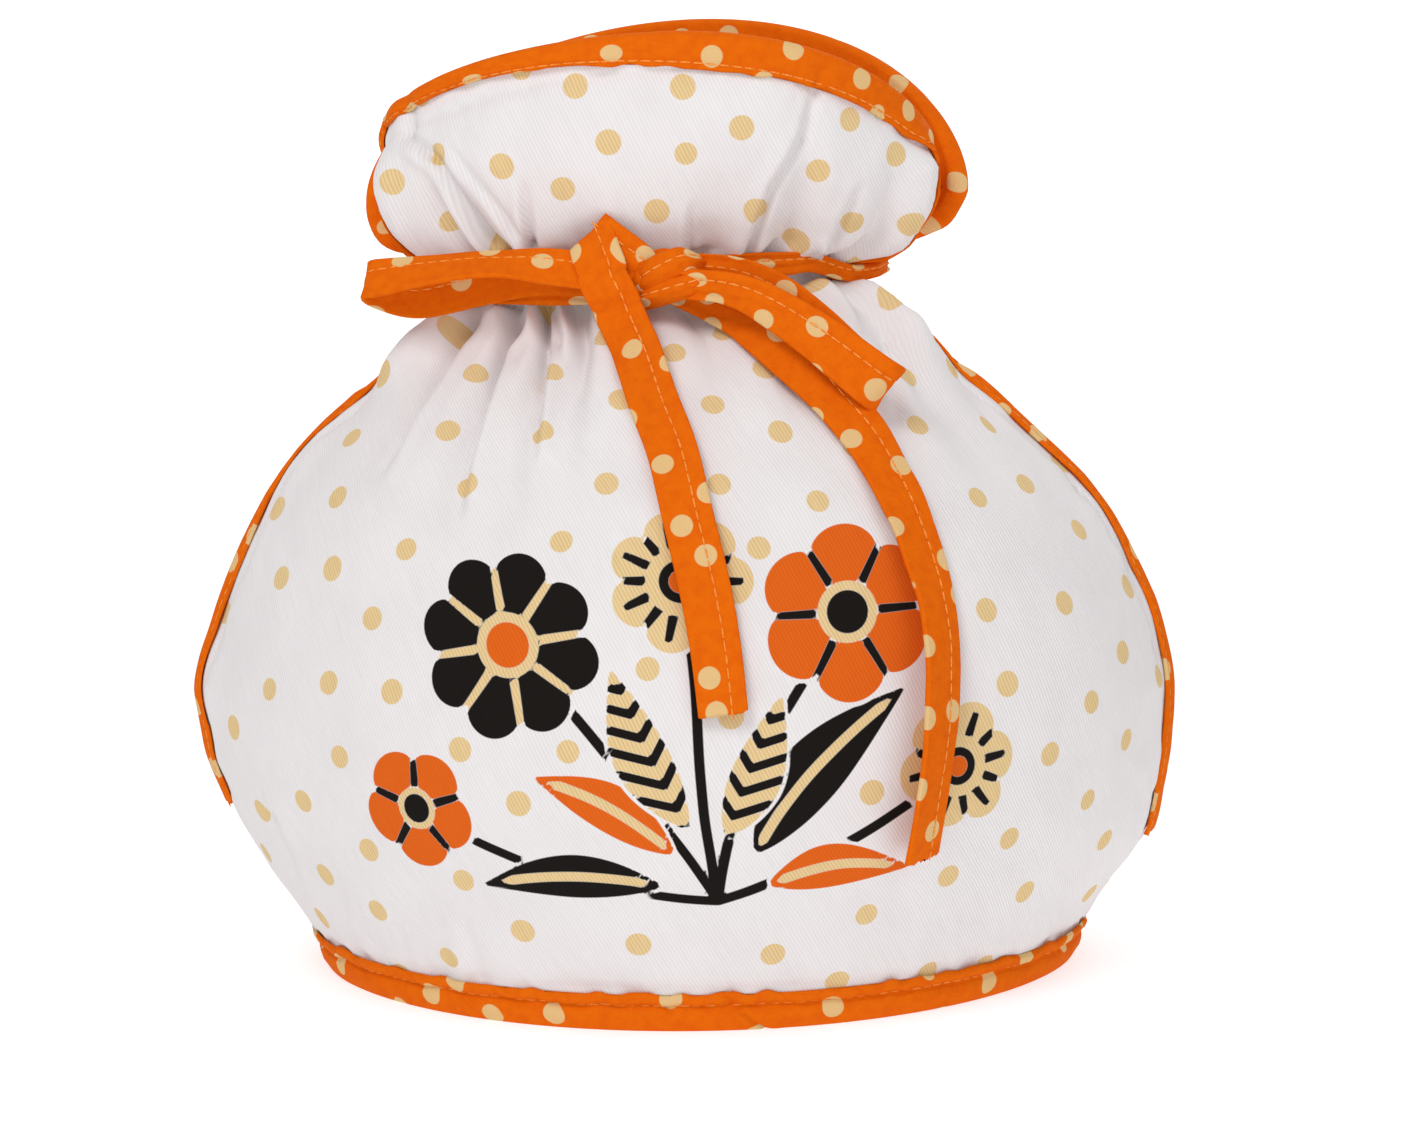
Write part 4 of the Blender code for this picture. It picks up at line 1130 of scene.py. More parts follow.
@dataclass(frozen=True)
class TwillCotton:
    """White cotton with fine slanted ribs, printed in three inks or left plain."""

    name: str
    printed: bool
    ground: Colour = (0.835, 0.80, 0.805, 1.0)
    shade: Colour = (0.74, 0.69, 0.695, 1.0)
    sand: Colour = (0.79, 0.585, 0.305, 1.0)
    sand_shade: Colour = (0.735, 0.53, 0.262, 1.0)
    rust: Colour = (0.74, 0.125, 0.01, 1.0)
    black: Colour = (0.010, 0.008, 0.007, 1.0)
    rib_pitch: float = 0.00084
    rib_length: float = 0.012
    rib_turn: float = math.radians(-27.0)
    rib_wander: float = 1.2
    rib_height: float = 0.00010
    rib_bump: float = 0.6
    rib_lights: Pair = (-0.09, 0.01)
    ribs_fade: Pair = (0.145, 0.165)
    ribs_return: Pair = (0.176, 0.186)
    ribs_lose: float = 0.7
    cloud_size: float = 0.02
    cloud_shade: float = 0.30
    ink_edge: float = 0.16
    roughness: float = 0.9
    gloss: float = 0.07
    sheen: float = 0.03

    def inked(self, wiring: Wiring, colour: Socket, ribs: Socket) -> Socket:
        """Colour of the cloth with its three inks over it.

        Args:
            wiring: The material's nodes.
            colour: The bare cloth's colour.
            ribs: Height of the ribs, which show in the sand ink.

        Returns:
            The printed colour.
        """
        sand = wiring.mix(wiring.ramp(ribs, 0.25, 0.65), self.sand_shade, self.sand)
        for ink, tint in ((Ink.SAND, sand), (Ink.RUST, self.rust), (Ink.BLACK, self.black)):
            depth = wiring.node("ShaderNodeAttribute", {"attribute_name": ink.value})
            cover = wiring.ramp(depth.outputs["Fac"], -self.ink_edge, self.ink_edge)
            colour = wiring.mix(cover, colour, tint)
        return colour

    def rib_light(self, wiring: Wiring, ribs: Socket) -> Socket:
        """Light and dark of the ribs as a grey, fainter where the neck draws them fine.

        Args:
            wiring: The material's nodes.
            ribs: Height of the ribs.

        Returns:
            The grey that the colour is multiplied by.
        """
        places = wiring.node("ShaderNodeTexCoord").outputs["Object"]
        height = wiring.node("ShaderNodeSeparateXYZ", Vector=places).outputs["Z"]
        lost = wiring.ramp(height, *self.ribs_fade, 0.0, -self.ribs_lose)
        back = wiring.ramp(height, *self.ribs_return, 0.0, self.ribs_lose)
        depth = wiring.math("ADD", wiring.math("ADD", lost, back), 1.0)
        faint = wiring.math("MULTIPLY", depth, wiring.ramp(ribs, 0.15, 0.75, *self.rib_lights))
        light = wiring.math("ADD", faint, 1.0)
        grey = wiring.node("ShaderNodeCombineColor", Red=light, Green=light, Blue=light)
        return grey.outputs["Color"]

    def material(self) -> bpy.types.Material:
        """Make the finish.

        Returns:
            The material.
        """
        wiring = Wiring(self.name)
        places = wiring.flat_map(self.rib_turn)
        even_ribs = wiring.lines(places, self.rib_pitch, self.rib_wander)
        streaks = wiring.streaks(places, self.rib_pitch, self.rib_length)
        ribs = wiring.math("MULTIPLY", wiring.math("ADD", even_ribs, streaks), 0.5)
        clouds = wiring.clouds(wiring.flat_map(), self.cloud_size)
        shading = wiring.ramp(clouds, 0.3, 0.8, 0.0, self.cloud_shade)
        colour = wiring.mix(shading, self.ground, self.shade)
        if self.printed:
            colour = self.inked(wiring, colour, ribs)
        colour = wiring.mix(1.0, colour, self.rib_light(wiring, ribs), "MULTIPLY")
        return wiring.finish(self.roughness, self.gloss, self.sheen, Base_Color=colour,
                             Normal=wiring.bump(ribs, self.rib_height, self.rib_bump))


@dataclass(frozen=True)
class SpottedCotton:
    """Plain-woven orange cotton with tossed cream spots."""

    name: str
    turn: float = 0.5
    ground: Colour = (0.79, 0.143, 0.002, 1.0)
    deep: Colour = (0.70, 0.095, 0.002, 1.0)
    spot: Colour = (0.76, 0.50, 0.225, 1.0)
    spot_radius: float = 0.00265
    spot_pitch: float = 0.0145
    scatter: float = 0.62
    spot_edge: float = 0.05
    thread_pitch: float = 0.0007
    thread_wander: float = 0.4
    thread_height: float = 0.0001
    thread_bump: float = 0.5
    cloud_size: float = 0.003
    cloud_shade: float = 0.55
    crumple_size: float = 0.004
    crumple_height: float = 0.0006
    crumple_bump: float = 0.6
    roughness: float = 0.9
    gloss: float = 0.06

    def material(self) -> bpy.types.Material:
        """Make the finish.

        Returns:
            The material.
        """
        wiring = Wiring(self.name)
        straight = wiring.flat_map()
        places = wiring.flat_map(self.turn)
        cells = wiring.node("ShaderNodeTexVoronoi", {"voronoi_dimensions": "2D"}, Vector=places,
                            Scale=1.0 / self.spot_pitch, Randomness=self.scatter)
        reach = self.spot_radius / self.spot_pitch
        spots = wiring.ramp(cells.outputs["Distance"], reach * (1.0 - self.spot_edge),
                            reach * (1.0 + self.spot_edge), 1.0, 0.0)
        clouds = wiring.clouds(straight, self.cloud_size, 4.0)
        shading = wiring.ramp(clouds, 0.35, 0.75, 0.0, self.cloud_shade)
        colour = wiring.mix(spots, wiring.mix(shading, self.ground, self.deep), self.spot)
        turned_map = wiring.flat_map(math.radians(90.0))
        weave = wiring.math("MULTIPLY",
                            wiring.lines(straight, self.thread_pitch, self.thread_wander),
                            wiring.lines(turned_map, self.thread_pitch, self.thread_wander))
        crumple = wiring.bump(wiring.clouds(straight, self.crumple_size, 3.0),
                              self.crumple_height, self.crumple_bump)
        return wiring.finish(
            self.roughness, self.gloss, Base_Color=colour,
            Normal=wiring.bump(weave, self.thread_height, self.thread_bump, crumple))


@dataclass(frozen=True)
class Thread:
    """Pale orange sewing thread with a fine twist."""

    name: str
    colour: Colour = (0.95, 0.37, 0.085, 1.0)
    shade: Colour = (0.82, 0.24, 0.03, 1.0)
    twist_size: float = 0.0004
    gloss: float = 0.1
    roughness: float = 0.8

    def material(self) -> bpy.types.Material:
        """Make the finish.

        Returns:
            The material.
        """
        wiring = Wiring(self.name)
        places = wiring.node("ShaderNodeTexCoord").outputs["Object"]
        twist = wiring.clouds(places, self.twist_size, 1.0)
        colour = wiring.mix(wiring.ramp(twist, 0.35, 0.65), self.shade, self.colour)
        return wiring.finish(self.roughness, self.gloss, Base_Color=colour)


@dataclass(frozen=True)
class FloorPaint:
    """Pale matt floor that glows a little, more so in the distance."""

    name: str
    colour: Colour = (0.45, 0.45, 0.45, 1.0)
    glow: Colour = (0.93, 0.93, 0.93, 1.0)
    near_glow: float = 0.72
    far_glow: float = 1.0
    far_from: float = 0.3
    far_to: float = 2.6
    roughness: float = 0.9
    gloss: float = 0.1

    def material(self) -> bpy.types.Material:
        """Make the finish.

        Returns:
            The material.
        """
        wiring = Wiring(self.name)
        places = wiring.node("ShaderNodeTexCoord").outputs["Object"]
        away = wiring.node("ShaderNodeSeparateXYZ", Vector=places).outputs["Y"]
        glow = wiring.ramp(away, self.far_from, self.far_to, self.near_glow, self.far_glow)
        return wiring.finish(self.roughness, self.gloss, Base_Color=self.colour,
                             Emission_Color=self.glow, Emission_Strength=glow)


@dataclass
class Print:
    """Printed shapes over the flat cloth, as depths inside each ink in millimetres."""

    u: Array
    v: Array
    fields: dict[Ink, Array] = field(init=False)

    def __post_init__(self) -> None:
        """Start with bare cloth."""
        self.fields = {ink: np.full_like(self.u, UNPRINTED) for ink in Ink}

    def lay(self, ink: Ink | None, inside: Array) -> None:
        """Print a shape over what is there, or wipe its place bare without an ink.

        Args:
            ink: The shape's ink.
            inside: Depth inside the shape at each point, negative outside.
        """
        for other, covered in self.fields.items():
            if other is ink:
                self.fields[other] = np.maximum(covered, inside)
            else:
                self.fields[other] = np.minimum(covered, -inside)

    def covered(self) -> Array:
        """Depth inside any ink."""
        return np.maximum.reduce(list(self.fields.values()))

    def disc(self, at: Pair, radius: float) -> Array:
        """Depth inside a round spot."""
        return radius - np.hypot(self.u - at[0], self.v - at[1])

    def bloom(self, at: Pair, radius: float, petals: int, turn: float, notch: float) -> Array:
        """Depth inside a flower of round petals.

        Args:
            at: The middle.
            radius: Its size.
            petals: How many.
            turn: Its turn.
            notch: How deep the partings go, as a share.

        Returns:
            The depth at each point.
        """
        angle = np.arctan2(self.v - at[1], self.u - at[0]) + turn
        scallop = np.abs(np.cos(0.5 * petals * angle)) ** 0.6
        reach = np.hypot(self.u - at[0], self.v - at[1])
        return radius * (1.0 - notch + notch * scallop) - reach

    def rays(self, at: Pair, inner: float, outer: float, count: int, turn: float,
             width: float) -> Array:
        """Depth inside tapered strokes that run out from a point.

        Args:
            at: The point.
            inner: Where they start.
            outer: Where they end.
            count: How many.
            turn: Their turn.
            width: Width at the inner end.

        Returns:
            The depth at each point.
        """
        angle = np.arctan2(self.v - at[1], self.u - at[0]) + turn
        sector = 2.0 * math.pi / count
        off = (angle + 0.5 * sector) % sector - 0.5 * sector
        reach = np.hypot(self.u - at[0], self.v - at[1])
        sideways = reach * np.sin(np.abs(off))
        taper = width * (1.0 - 0.28 * np.clip((reach - inner) / (outer - inner), 0.0, 1.0))
        return np.minimum(0.5 * taper - sideways, np.minimum(reach - inner, outer - reach))

    def leaf(self, base: Pair, tip: Pair, width: float, bend: float) -> Array:
        """Depth inside a leaf with pointed ends.

        Args:
            base: Its foot.
            tip: Its tip.
            width: Its width.
            bend: How far its middle bows.

        Returns:
            The depth at each point.
        """
        along, off, length = self.local(base, tip)
        middle = bend * np.sin(math.pi * np.clip(along, 0.0, 1.0))
        half = 0.5 * width * np.sin(math.pi * np.clip(along, 0.0, 1.0) ** 0.85)
        inside = half - np.abs(off - middle)
        return np.minimum(inside, length * np.minimum(along, 1.0 - along) - 1.0)

    def vein(self, base: Pair, tip: Pair, width: float, bend: float) -> Array:
        """Depth inside an even stroke along a leaf's middle.

        Args:
            base: Its foot.
            tip: Its tip.
            width: The stroke's width.
            bend: How far the leaf bows.

        Returns:
            The depth at each point.
        """
        along, off, _ = self.local(base, tip)
        middle = bend * np.sin(math.pi * np.clip(along, 0.0, 1.0))
        return 0.5 * width - np.abs(off - middle)

    def ribs(self, base: Pair, tip: Pair, pitch: float, width: float, slant: float) -> Array:
        """Depth inside slanted strokes on both sides of a leaf's middle.

        Args:
            base: Its foot.
            tip: Its tip.
            pitch: Spacing of the strokes.
            width: Their width.
            slant: How far they run up the leaf for each millimetre out.

        Returns:
            The depth at each point.
        """
        along, off, length = self.local(base, tip)
        place = (along * length - slant * np.abs(off)) / pitch
        return 0.5 * width - np.abs(place - np.round(place)) * pitch

    def local(self, base: Pair, tip: Pair) -> tuple[Array, Array, float]:
        """Share along and distance to the left of a line, and the line's length.

        Args:
            base: Start of the line.
            tip: Its end.

        Returns:
            All three.
        """
        run = np.array(tip) - np.array(base)
        length = float(np.hypot(*run))
        across = self.u - base[0]
        up = self.v - base[1]
        along = (across * run[0] + up * run[1]) / length ** 2
        off = (up * run[0] - across * run[1]) / length
        return along, off, length

    def stem(self, start: Pair, knee: Pair, end: Pair, width: float) -> Array:
        """Depth inside a curved stem.

        Args:
            start: Its foot.
            knee: The point that bends it.
            end: Its top.
            width: Its width.

        Returns:
            The depth at each point.
        """
        nearest = np.full_like(self.u, FAR)
        shares = np.linspace(0.0, 1.0, 40)
        points = [((1 - t) ** 2 * np.array(start) + 2 * t * (1 - t) * np.array(knee)
                   + t * t * np.array(end)) for t in shares]
        for near, far in zip(points, points[1:]):
            run = far - near
            across = self.u - near[0]
            up = self.v - near[1]
            along = np.clip((across * run[0] + up * run[1]) / (run @ run), 0, 1)
            off = np.hypot(across - along * run[0], up - along * run[1])
            nearest = np.minimum(nearest, off)
        return 0.5 * width - nearest


class FlowerKind(Enum):
    """How a printed bloom is coloured."""

    DARK = "dark"
    RUSTY = "rusty"
    STRIPED = "striped"


class Bloom(NamedTuple):
    """One printed bloom on its stem."""

    kind: FlowerKind
    at: Pair
    radius: float
    petals: int
    turn: float
    knee: Pair


class Leaf(NamedTuple):
    """One printed leaf."""

    kind: FlowerKind
    base: Pair
    tip: Pair
    width: float
    bend: float


@dataclass
class SprayPrint:
    """Generic spray of flowers printed across the middle of the front cloth."""

    root: Pair = (4.0, 36.0)
    stem_width: float = 2.4
    leaf_margin: float = 0.9
    vein_width: float = 2.4
    vein_inset: float = 1.5
    rib_pitch: float = 6.0
    rib_width: float = 2.6
    rib_slant: float = 0.8
    bloom_margin: float = 1.1
    notch: float = 0.24
    eye_share: float = 0.3
    ray_width: float = 2.4
    parting_width: float = 2.2
    blooms: tuple[Bloom, ...] = (
        Bloom(FlowerKind.DARK, (-42.0, 96.0), 22.0, 8, 0.2, (-8.0, 66.0)),
        Bloom(FlowerKind.RUSTY, (38.0, 104.0), 21.0, 6, 0.5, (12.0, 70.0)),
        Bloom(FlowerKind.STRIPED, (-1.0, 112.0), 17.0, 7, 0.0, (4.0, 76.0)),
        Bloom(FlowerKind.STRIPED, (66.0, 66.0), 15.5, 6, 0.9, (30.0, 44.0)),
        Bloom(FlowerKind.RUSTY, (-66.0, 56.0), 14.5, 5, 0.3, (-30.0, 38.0)),
    )
    leaves: tuple[Leaf, ...] = (
        Leaf(FlowerKind.DARK, (14.0, 48.0), (52.0, 86.0), 15.0, 3.0),
        Leaf(FlowerKind.RUSTY, (-4.0, 48.0), (-36.0, 66.0), 12.0, -3.0),
        Leaf(FlowerKind.STRIPED, (0.0, 54.0), (-18.0, 92.0), 13.0, 2.0),
        Leaf(FlowerKind.STRIPED, (8.0, 52.0), (22.0, 86.0), 12.0, -2.0),
        Leaf(FlowerKind.DARK, (-8.0, 40.0), (-52.0, 38.0), 11.0, -3.0),
        Leaf(FlowerKind.RUSTY, (16.0, 40.0), (52.0, 42.0), 11.0, 3.0),
    )

    def lay(self, sheet: Print) -> None:
        """Print the whole spray.

        Args:
            sheet: The print that it is laid on.
        """
        for bloom in self.blooms:
            sheet.lay(Ink.BLACK, sheet.stem(self.root, bloom.knee, bloom.at, self.stem_width))
        for leaf in self.leaves:
            self.lay_leaf(sheet, leaf)
        for bloom in self.blooms:
            self.lay_bloom(sheet, bloom)

    def lay_leaf(self, sheet: Print, leaf: Leaf) -> None:
        """Print one leaf with its middle vein or stripes.

        Args:
            sheet: The print that it is laid on.
            leaf: The leaf.
        """
        shape = sheet.leaf(leaf.base, leaf.tip, leaf.width, leaf.bend)
        sheet.lay(None, shape + self.leaf_margin)
        if leaf.kind is FlowerKind.STRIPED:
            sheet.lay(Ink.SAND, shape)
            strokes = sheet.ribs(leaf.base, leaf.tip, self.rib_pitch, self.rib_width,
                                 self.rib_slant)
            sheet.lay(Ink.BLACK, np.minimum(strokes, shape))
            return
        sheet.lay(Ink.BLACK if leaf.kind is FlowerKind.DARK else Ink.RUST, shape)
        vein = sheet.vein(leaf.base, leaf.tip, self.vein_width, leaf.bend)
        sheet.lay(Ink.SAND, np.minimum(shape - self.vein_inset, vein))

    def lay_bloom(self, sheet: Print, bloom: Bloom) -> None:
        """Print one bloom with its strokes and its eye.

        Args:
            sheet: The print that it is laid on.
            bloom: The bloom.
        """
        shape = sheet.bloom(bloom.at, bloom.radius, bloom.petals, bloom.turn, self.notch)
        sheet.lay(None, shape + self.bloom_margin)
        eye = self.eye_share * bloom.radius
        if bloom.kind is FlowerKind.STRIPED:
            sheet.lay(Ink.SAND, shape)
            strokes = sheet.rays(bloom.at, 1.6 * eye, 0.86 * bloom.radius, 2 * bloom.petals,
                                 bloom.turn, self.ray_width)
            sheet.lay(Ink.BLACK, np.minimum(strokes, shape - 0.6))
            sheet.lay(Ink.BLACK, sheet.disc(bloom.at, eye))
            sheet.lay(Ink.RUST, sheet.disc(bloom.at, 0.55 * eye))
            return
        dark = bloom.kind is FlowerKind.DARK
        sheet.lay(Ink.BLACK if dark else Ink.RUST, shape)
        parting = sheet.rays(bloom.at, 1.2 * eye, bloom.radius, bloom.petals,
                             bloom.turn + math.pi / bloom.petals, self.parting_width)
        sheet.lay(Ink.SAND if dark else Ink.BLACK, np.minimum(parting, shape + 0.3))
        sheet.lay(Ink.SAND, sheet.disc(bloom.at, 1.15 * eye))
        sheet.lay(Ink.RUST if dark else Ink.BLACK, sheet.disc(bloom.at, 0.8 * eye))


@dataclass
class ClothPanel:
    """Wadded cloth of one panel, body and ruffle flap, with its print and its creases."""

    shape: PanelShape
    columns: int
    body_rows: int
    flap_rows: int
    seed: int
    spray: SprayPrint | None
    dot_radius: float = 2.95
    dot_spacing: float = 17.3
    dot_gathering: float = 0.79
    dot_gathers_from: float = 120.0
    dot_tries: int = 12000
    dot_margin: float = 2.2
    dot_sizes: Pair = (0.92, 1.06)
    puff: float = 1.0
    puff_starts: float = 3.0
    puff_reach: float = 12.0
    pucker: float = 0.75
    pucker_reach: float = 6.0
    pucker_shares: Pair = (0.8, 0.35)
    puckers_apart: Pair = (6.3, 3.1)
    dip: float = 0.5
    dip_reach: float = 1.6
    tape_foot: float = 1.2
    lump: float = 0.35
    lump_size: float = 16.0
    fine_lump: float = 0.14
    fine_lump_size: float = 7.0
    lumps_from: float = 6.0
    lumps_rise: float = 10.0
    pleat: float = 0.55
    pleat_reach: float = 17.0
    pleat_counts: Pair = (26.0, 47.0)
    pleat_lengths: Pair = (26.0, 18.0)
    inner_share: float = 0.3
    crowding: float = 0.82
    hem_stations: int = 300
    side_stations: int = 40

    def places(self) -> Array:
        """Grid of (across, height) places over the body and the flap, closest in the middle.

        Returns:
            The grid, the lowest row first.
        """
        even = np.linspace(-1.0, 1.0, self.columns)
        across = self.crowding * even + (1.0 - self.crowding) * even ** 3
        levels = np.linspace(PANEL_FOOT, NECK_HEIGHT, self.body_rows)
        body = np.stack(np.meshgrid(across, levels), axis=-1)
        left, _, right = self.shape.flap_outline(self.flap_rows, 1)
        top = self.shape.arch_places(across * ARCH_CORNER)
        bottom = stacked(across, np.full_like(across, NECK_HEIGHT))
        return np.concatenate([body, blend_patch(bottom, left, top, right)[1:]])

    def outline(self) -> tuple[Array, Array]:
        """Stations round the whole panel, and how far in from each a tape or hem covers.

        Returns:
            (across, height) of the stations, and the widths covered.
        """
        free = self.shape.free_edge(1.0)
        hem = stacked(np.linspace(-1.0, 1.0, self.hem_stations),
                      np.full(self.hem_stations, PANEL_FOOT))
        seams = [stacked(np.full(self.side_stations, side),
                         np.linspace(PANEL_FOOT, foot, self.side_stations))
                 for side, foot in ((-1.0, LEFT_OPENING_FOOT), (1.0, RIGHT_OPENING_FOOT))]
        cover = np.concatenate([np.full(len(free), EDGE_TAPE_WIDTH),
                                np.full(self.hem_stations, HEM_TAPE_WIDTH),
                                np.zeros(2 * self.side_stations)])
        return np.concatenate([free, hem, *seams]), cover

    def edge_effect(self, across: Array, height: Array) -> Array:
        """Puffs and puckers of the cloth beside its tapes and seams.

        Args:
            across: Places across, from -1 to 1.
            height: Heights.

        Returns:
            Millimetres outwards.
        """
        stations, cover = self.outline()
        rim = self.shape.bare(stations[:, 0], stations[:, 1])
        tree = KDTree(len(rim))
        for index, point in enumerate(rim):
            tree.insert(point, index)
        tree.balance()
        found = [tree.find(point)[1:] for point in self.shape.bare(across, height)]
        nearest = np.array([index for index, _ in found])
        beyond = np.array([distance for _, distance in found]) - cover[nearest]
        wander, fine = (Unevenness(self.seed + k).along(nearest / apart)
                        for k, apart in enumerate(self.puckers_apart))
        outside = smooth_step((beyond + self.tape_foot) / self.tape_foot)
        past = np.maximum(beyond, 0.0)
        swell = (self.puff * (1.0 - np.exp(-past / self.puff_starts))
                 * np.exp(-past / self.puff_reach))
        wave = self.pucker_shares[0] * wander + self.pucker_shares[1] * fine
        ripple = self.pucker * wave * np.exp(-past / self.pucker_reach)
        dip = -self.dip * np.exp(-past / self.dip_reach)
        return outside * (swell + ripple + dip)

    def wadding(self, flat: Array) -> Array:
        """Slight lumps of the filling."""
        coarse, fine = (Unevenness(self.seed + 2 + k).over(flat[..., 0] / size, flat[..., 1] / size)
                        for k, size in enumerate((self.lump_size, self.fine_lump_size)))
        return self.lump * coarse + self.fine_lump * fine

    def pleats(self, across: Array, height: Array) -> Array:
        """Small pleats where the cloth is drawn in at the neck.

        Args:
            across: Places across, from -1 to 1.
            height: Heights.

        Returns:
            Millimetres outwards.
        """
        off = np.abs(height - NECK_HEIGHT)
        first, second = (Unevenness(self.seed + 4 + k).over(across * count, height / length)
                         for k, (count, length) in enumerate(zip(self.pleat_counts,
                                                                 self.pleat_lengths)))
        return self.pleat * (first + 0.5 * second) * np.exp(-off / self.pleat_reach)

    def dot_centres(self, sheet: Print, height: Array, points: Array) -> Array:
        """Centres of tossed spots, evenly spread, closer where cloth is gathered.

        Args:
            sheet: The print with its spray laid, which the spots stay clear of.
            height: Heights of the net's points.
            points: The net's points on the unfolded face.

        Returns:
            The centres as points on the unfolded face.
        """
        clear = sheet.covered() < -self.dot_radius - self.dot_margin
        gathered = rise(height, self.dot_gathers_from, NECK_HEIGHT)
        spacing = self.dot_spacing * (1.0 - (1.0 - self.dot_gathering) * gathered)
        draw = np.random.default_rng(self.seed + 6).permutation(len(points))[:self.dot_tries]
        chosen: list[Array] = []
        for index in draw:
            if not clear[index]:
                continue
            point = points[index]
            away = np.linalg.norm(np.array(chosen) - point, axis=-1) if chosen else [FAR]
            if np.min(away) >= spacing[index]:
                chosen.append(point)
        return np.array(chosen)

    def inks(self, across: Array, height: Array, flat: Array) -> dict[str, Array]:
        """Depth inside each ink at the outer face's points.

        Args:
            across: Places across, from -1 to 1.
            height: Heights.
            flat: Their places on the flat cloth.

        Returns:
            Depths by attribute name.
        """
        sheet = Print(flat[:, 0], flat[:, 1])
        if self.spray:
            self.spray.lay(sheet)
        points = self.shape.bare(across, height)
        centres = self.dot_centres(sheet, height, points)
        draw = np.random.default_rng(self.seed + 7)
        sizes = draw.uniform(*self.dot_sizes, len(centres))
        nearest = np.full(len(points), UNPRINTED)
        for centre, size in zip(centres, sizes):
            off = np.linalg.norm(points - centre, axis=-1)
            nearest = np.maximum(nearest, self.dot_radius * size - off)
        sheet.lay(Ink.SAND, np.minimum(nearest, -sheet.covered()))
        return {ink.value: values for ink, values in sheet.fields.items()}

    def build(self) -> bpy.types.Object:
        """Build the piece.

        Returns:
            The closed, printed cloth.
        """
        grid = self.places()
        rows, columns = grid.shape[:2]
        across, height = grid[..., 0].ravel(), grid[..., 1].ravel()
        flat = self.shape.flat_places(across, height)
        above_hem = smooth_step((height - self.lumps_from) / self.lumps_rise)
        lift = (self.edge_effect(across, height) + self.wadding(flat) * above_hem
                + self.pleats(across, height))
        outer = self.shape.point(across, height, lift)
        inside = np.arange(rows * columns).reshape(rows, columns)[::2, ::2].ravel()
        under = -wall(height[inside]) + self.inner_share * lift[inside]
        inner = self.shape.point(across[inside], height[inside], under)
        mesh = ClothMesh()
        mesh.add(np.concatenate([outer, inner]), shell_faces(rows, columns),
                 np.concatenate([flat, flat[inside]]))
        bare_inside = np.full(len(inside), UNPRINTED)
        inks = {key: np.concatenate([values, bare_inside])
                for key, values in self.inks(across, height, flat).items()}
        return mesh.piece(self.shape.name + "_cloth", inks)


@dataclass
class FlapLining:
    """Spotted lining inside one ruffle flap."""

    shape: PanelShape
    rows: int = 46
    columns: int = 120
    under_tape: float = 5.6
    ripple: float = 0.15
    ripple_top: float = 0.1
    ripple_size: Pair = (8.0, 12.0)
    ripple_seed: int = 40

    def places(self) -> Array:
        """Grid of (across, height) places inside the flap's binding.

        Returns:
            The grid, the lowest row first.
        """
        left, top, right = self.shape.flap_outline(self.rows, self.columns)
        ring = np.concatenate([left[:-1], top, right[::-1][1:]])
        inset = ring + self.shape.inward_rate(ring) * self.under_tape
        inset[0, 1] = NECK_HEIGHT
        inset[-1, 1] = NECK_HEIGHT
        bottom = stacked(np.linspace(inset[0, 0], inset[-1, 0], self.columns + 1),
                         np.full(self.columns + 1, NECK_HEIGHT))
        side = self.rows
        return blend_patch(bottom, inset[:side + 1], inset[side:side + self.columns + 1],
                           inset[::-1][:side + 1])

    def build(self) -> bpy.types.Object:
        """Build the piece.

        Returns:
            The closed lining.
        """
        grid = self.places()
        rows, columns = grid.shape[:2]
        across, height = grid[..., 0].ravel(), grid[..., 1].ravel()
        flat = self.shape.flat_places(across, height)
        wander = Unevenness(self.ripple_seed + self.shape.side)
        ripple = self.ripple * wander.over(*(flat / self.ripple_size).T)
        outside = -wall(height) - LINING_GAP + np.minimum(ripple, self.ripple_top)
        shown = self.shape.point(across, height, outside - LINING_WALL)
        hidden = np.arange(rows * columns).reshape(rows, columns)[::2, ::2].ravel()
        backing = self.shape.point(across[hidden], height[hidden], outside[hidden])
        mesh = ClothMesh()
        mesh.add(np.concatenate([shown, backing]), shell_faces(rows, columns),
                 np.concatenate([flat, flat[hidden]]))
        return mesh.piece(self.shape.name + "_flap_lining")


@dataclass
class StitchLine:
    """Line that a row of stitches follows, with the outward direction at each point."""

    points: Array
    outward: Array
    closed: bool = False


STITCH_SOCKETS = (
    ("Path", "INPUT", "NodeSocketGeometry"),
    ("Pitch", "INPUT", "NodeSocketFloat"),
    ("Length", "INPUT", "NodeSocketFloat"),
    ("Width", "INPUT", "NodeSocketFloat"),
    ("Seed", "INPUT", "NodeSocketInt"),
    ("Stitches", "OUTPUT", "NodeSocketGeometry"),
)

STITCH_NODES = {
    "given": "NodeGroupInput",
    "curve": "GeometryNodeMeshToCurve",
    "even": "GeometryNodeResampleCurve",
    "ball": "GeometryNodeMeshIcoSphere",
    "size": "ShaderNodeCombineXYZ",
    "shaped": "GeometryNodeTransform",
    "along": "GeometryNodeInputTangent",
    "outward": "GeometryNodeInputNamedAttribute",
    "laid": "FunctionNodeAlignRotationToVector",
    "faced": "FunctionNodeAlignRotationToVector",
    "vary": "FunctionNodeRandomValue",
    "placed": "GeometryNodeInstanceOnPoints",
    "real": "GeometryNodeRealizeInstances",
    "finish": "GeometryNodeSetMaterial",
    "result": "NodeGroupOutput",
}

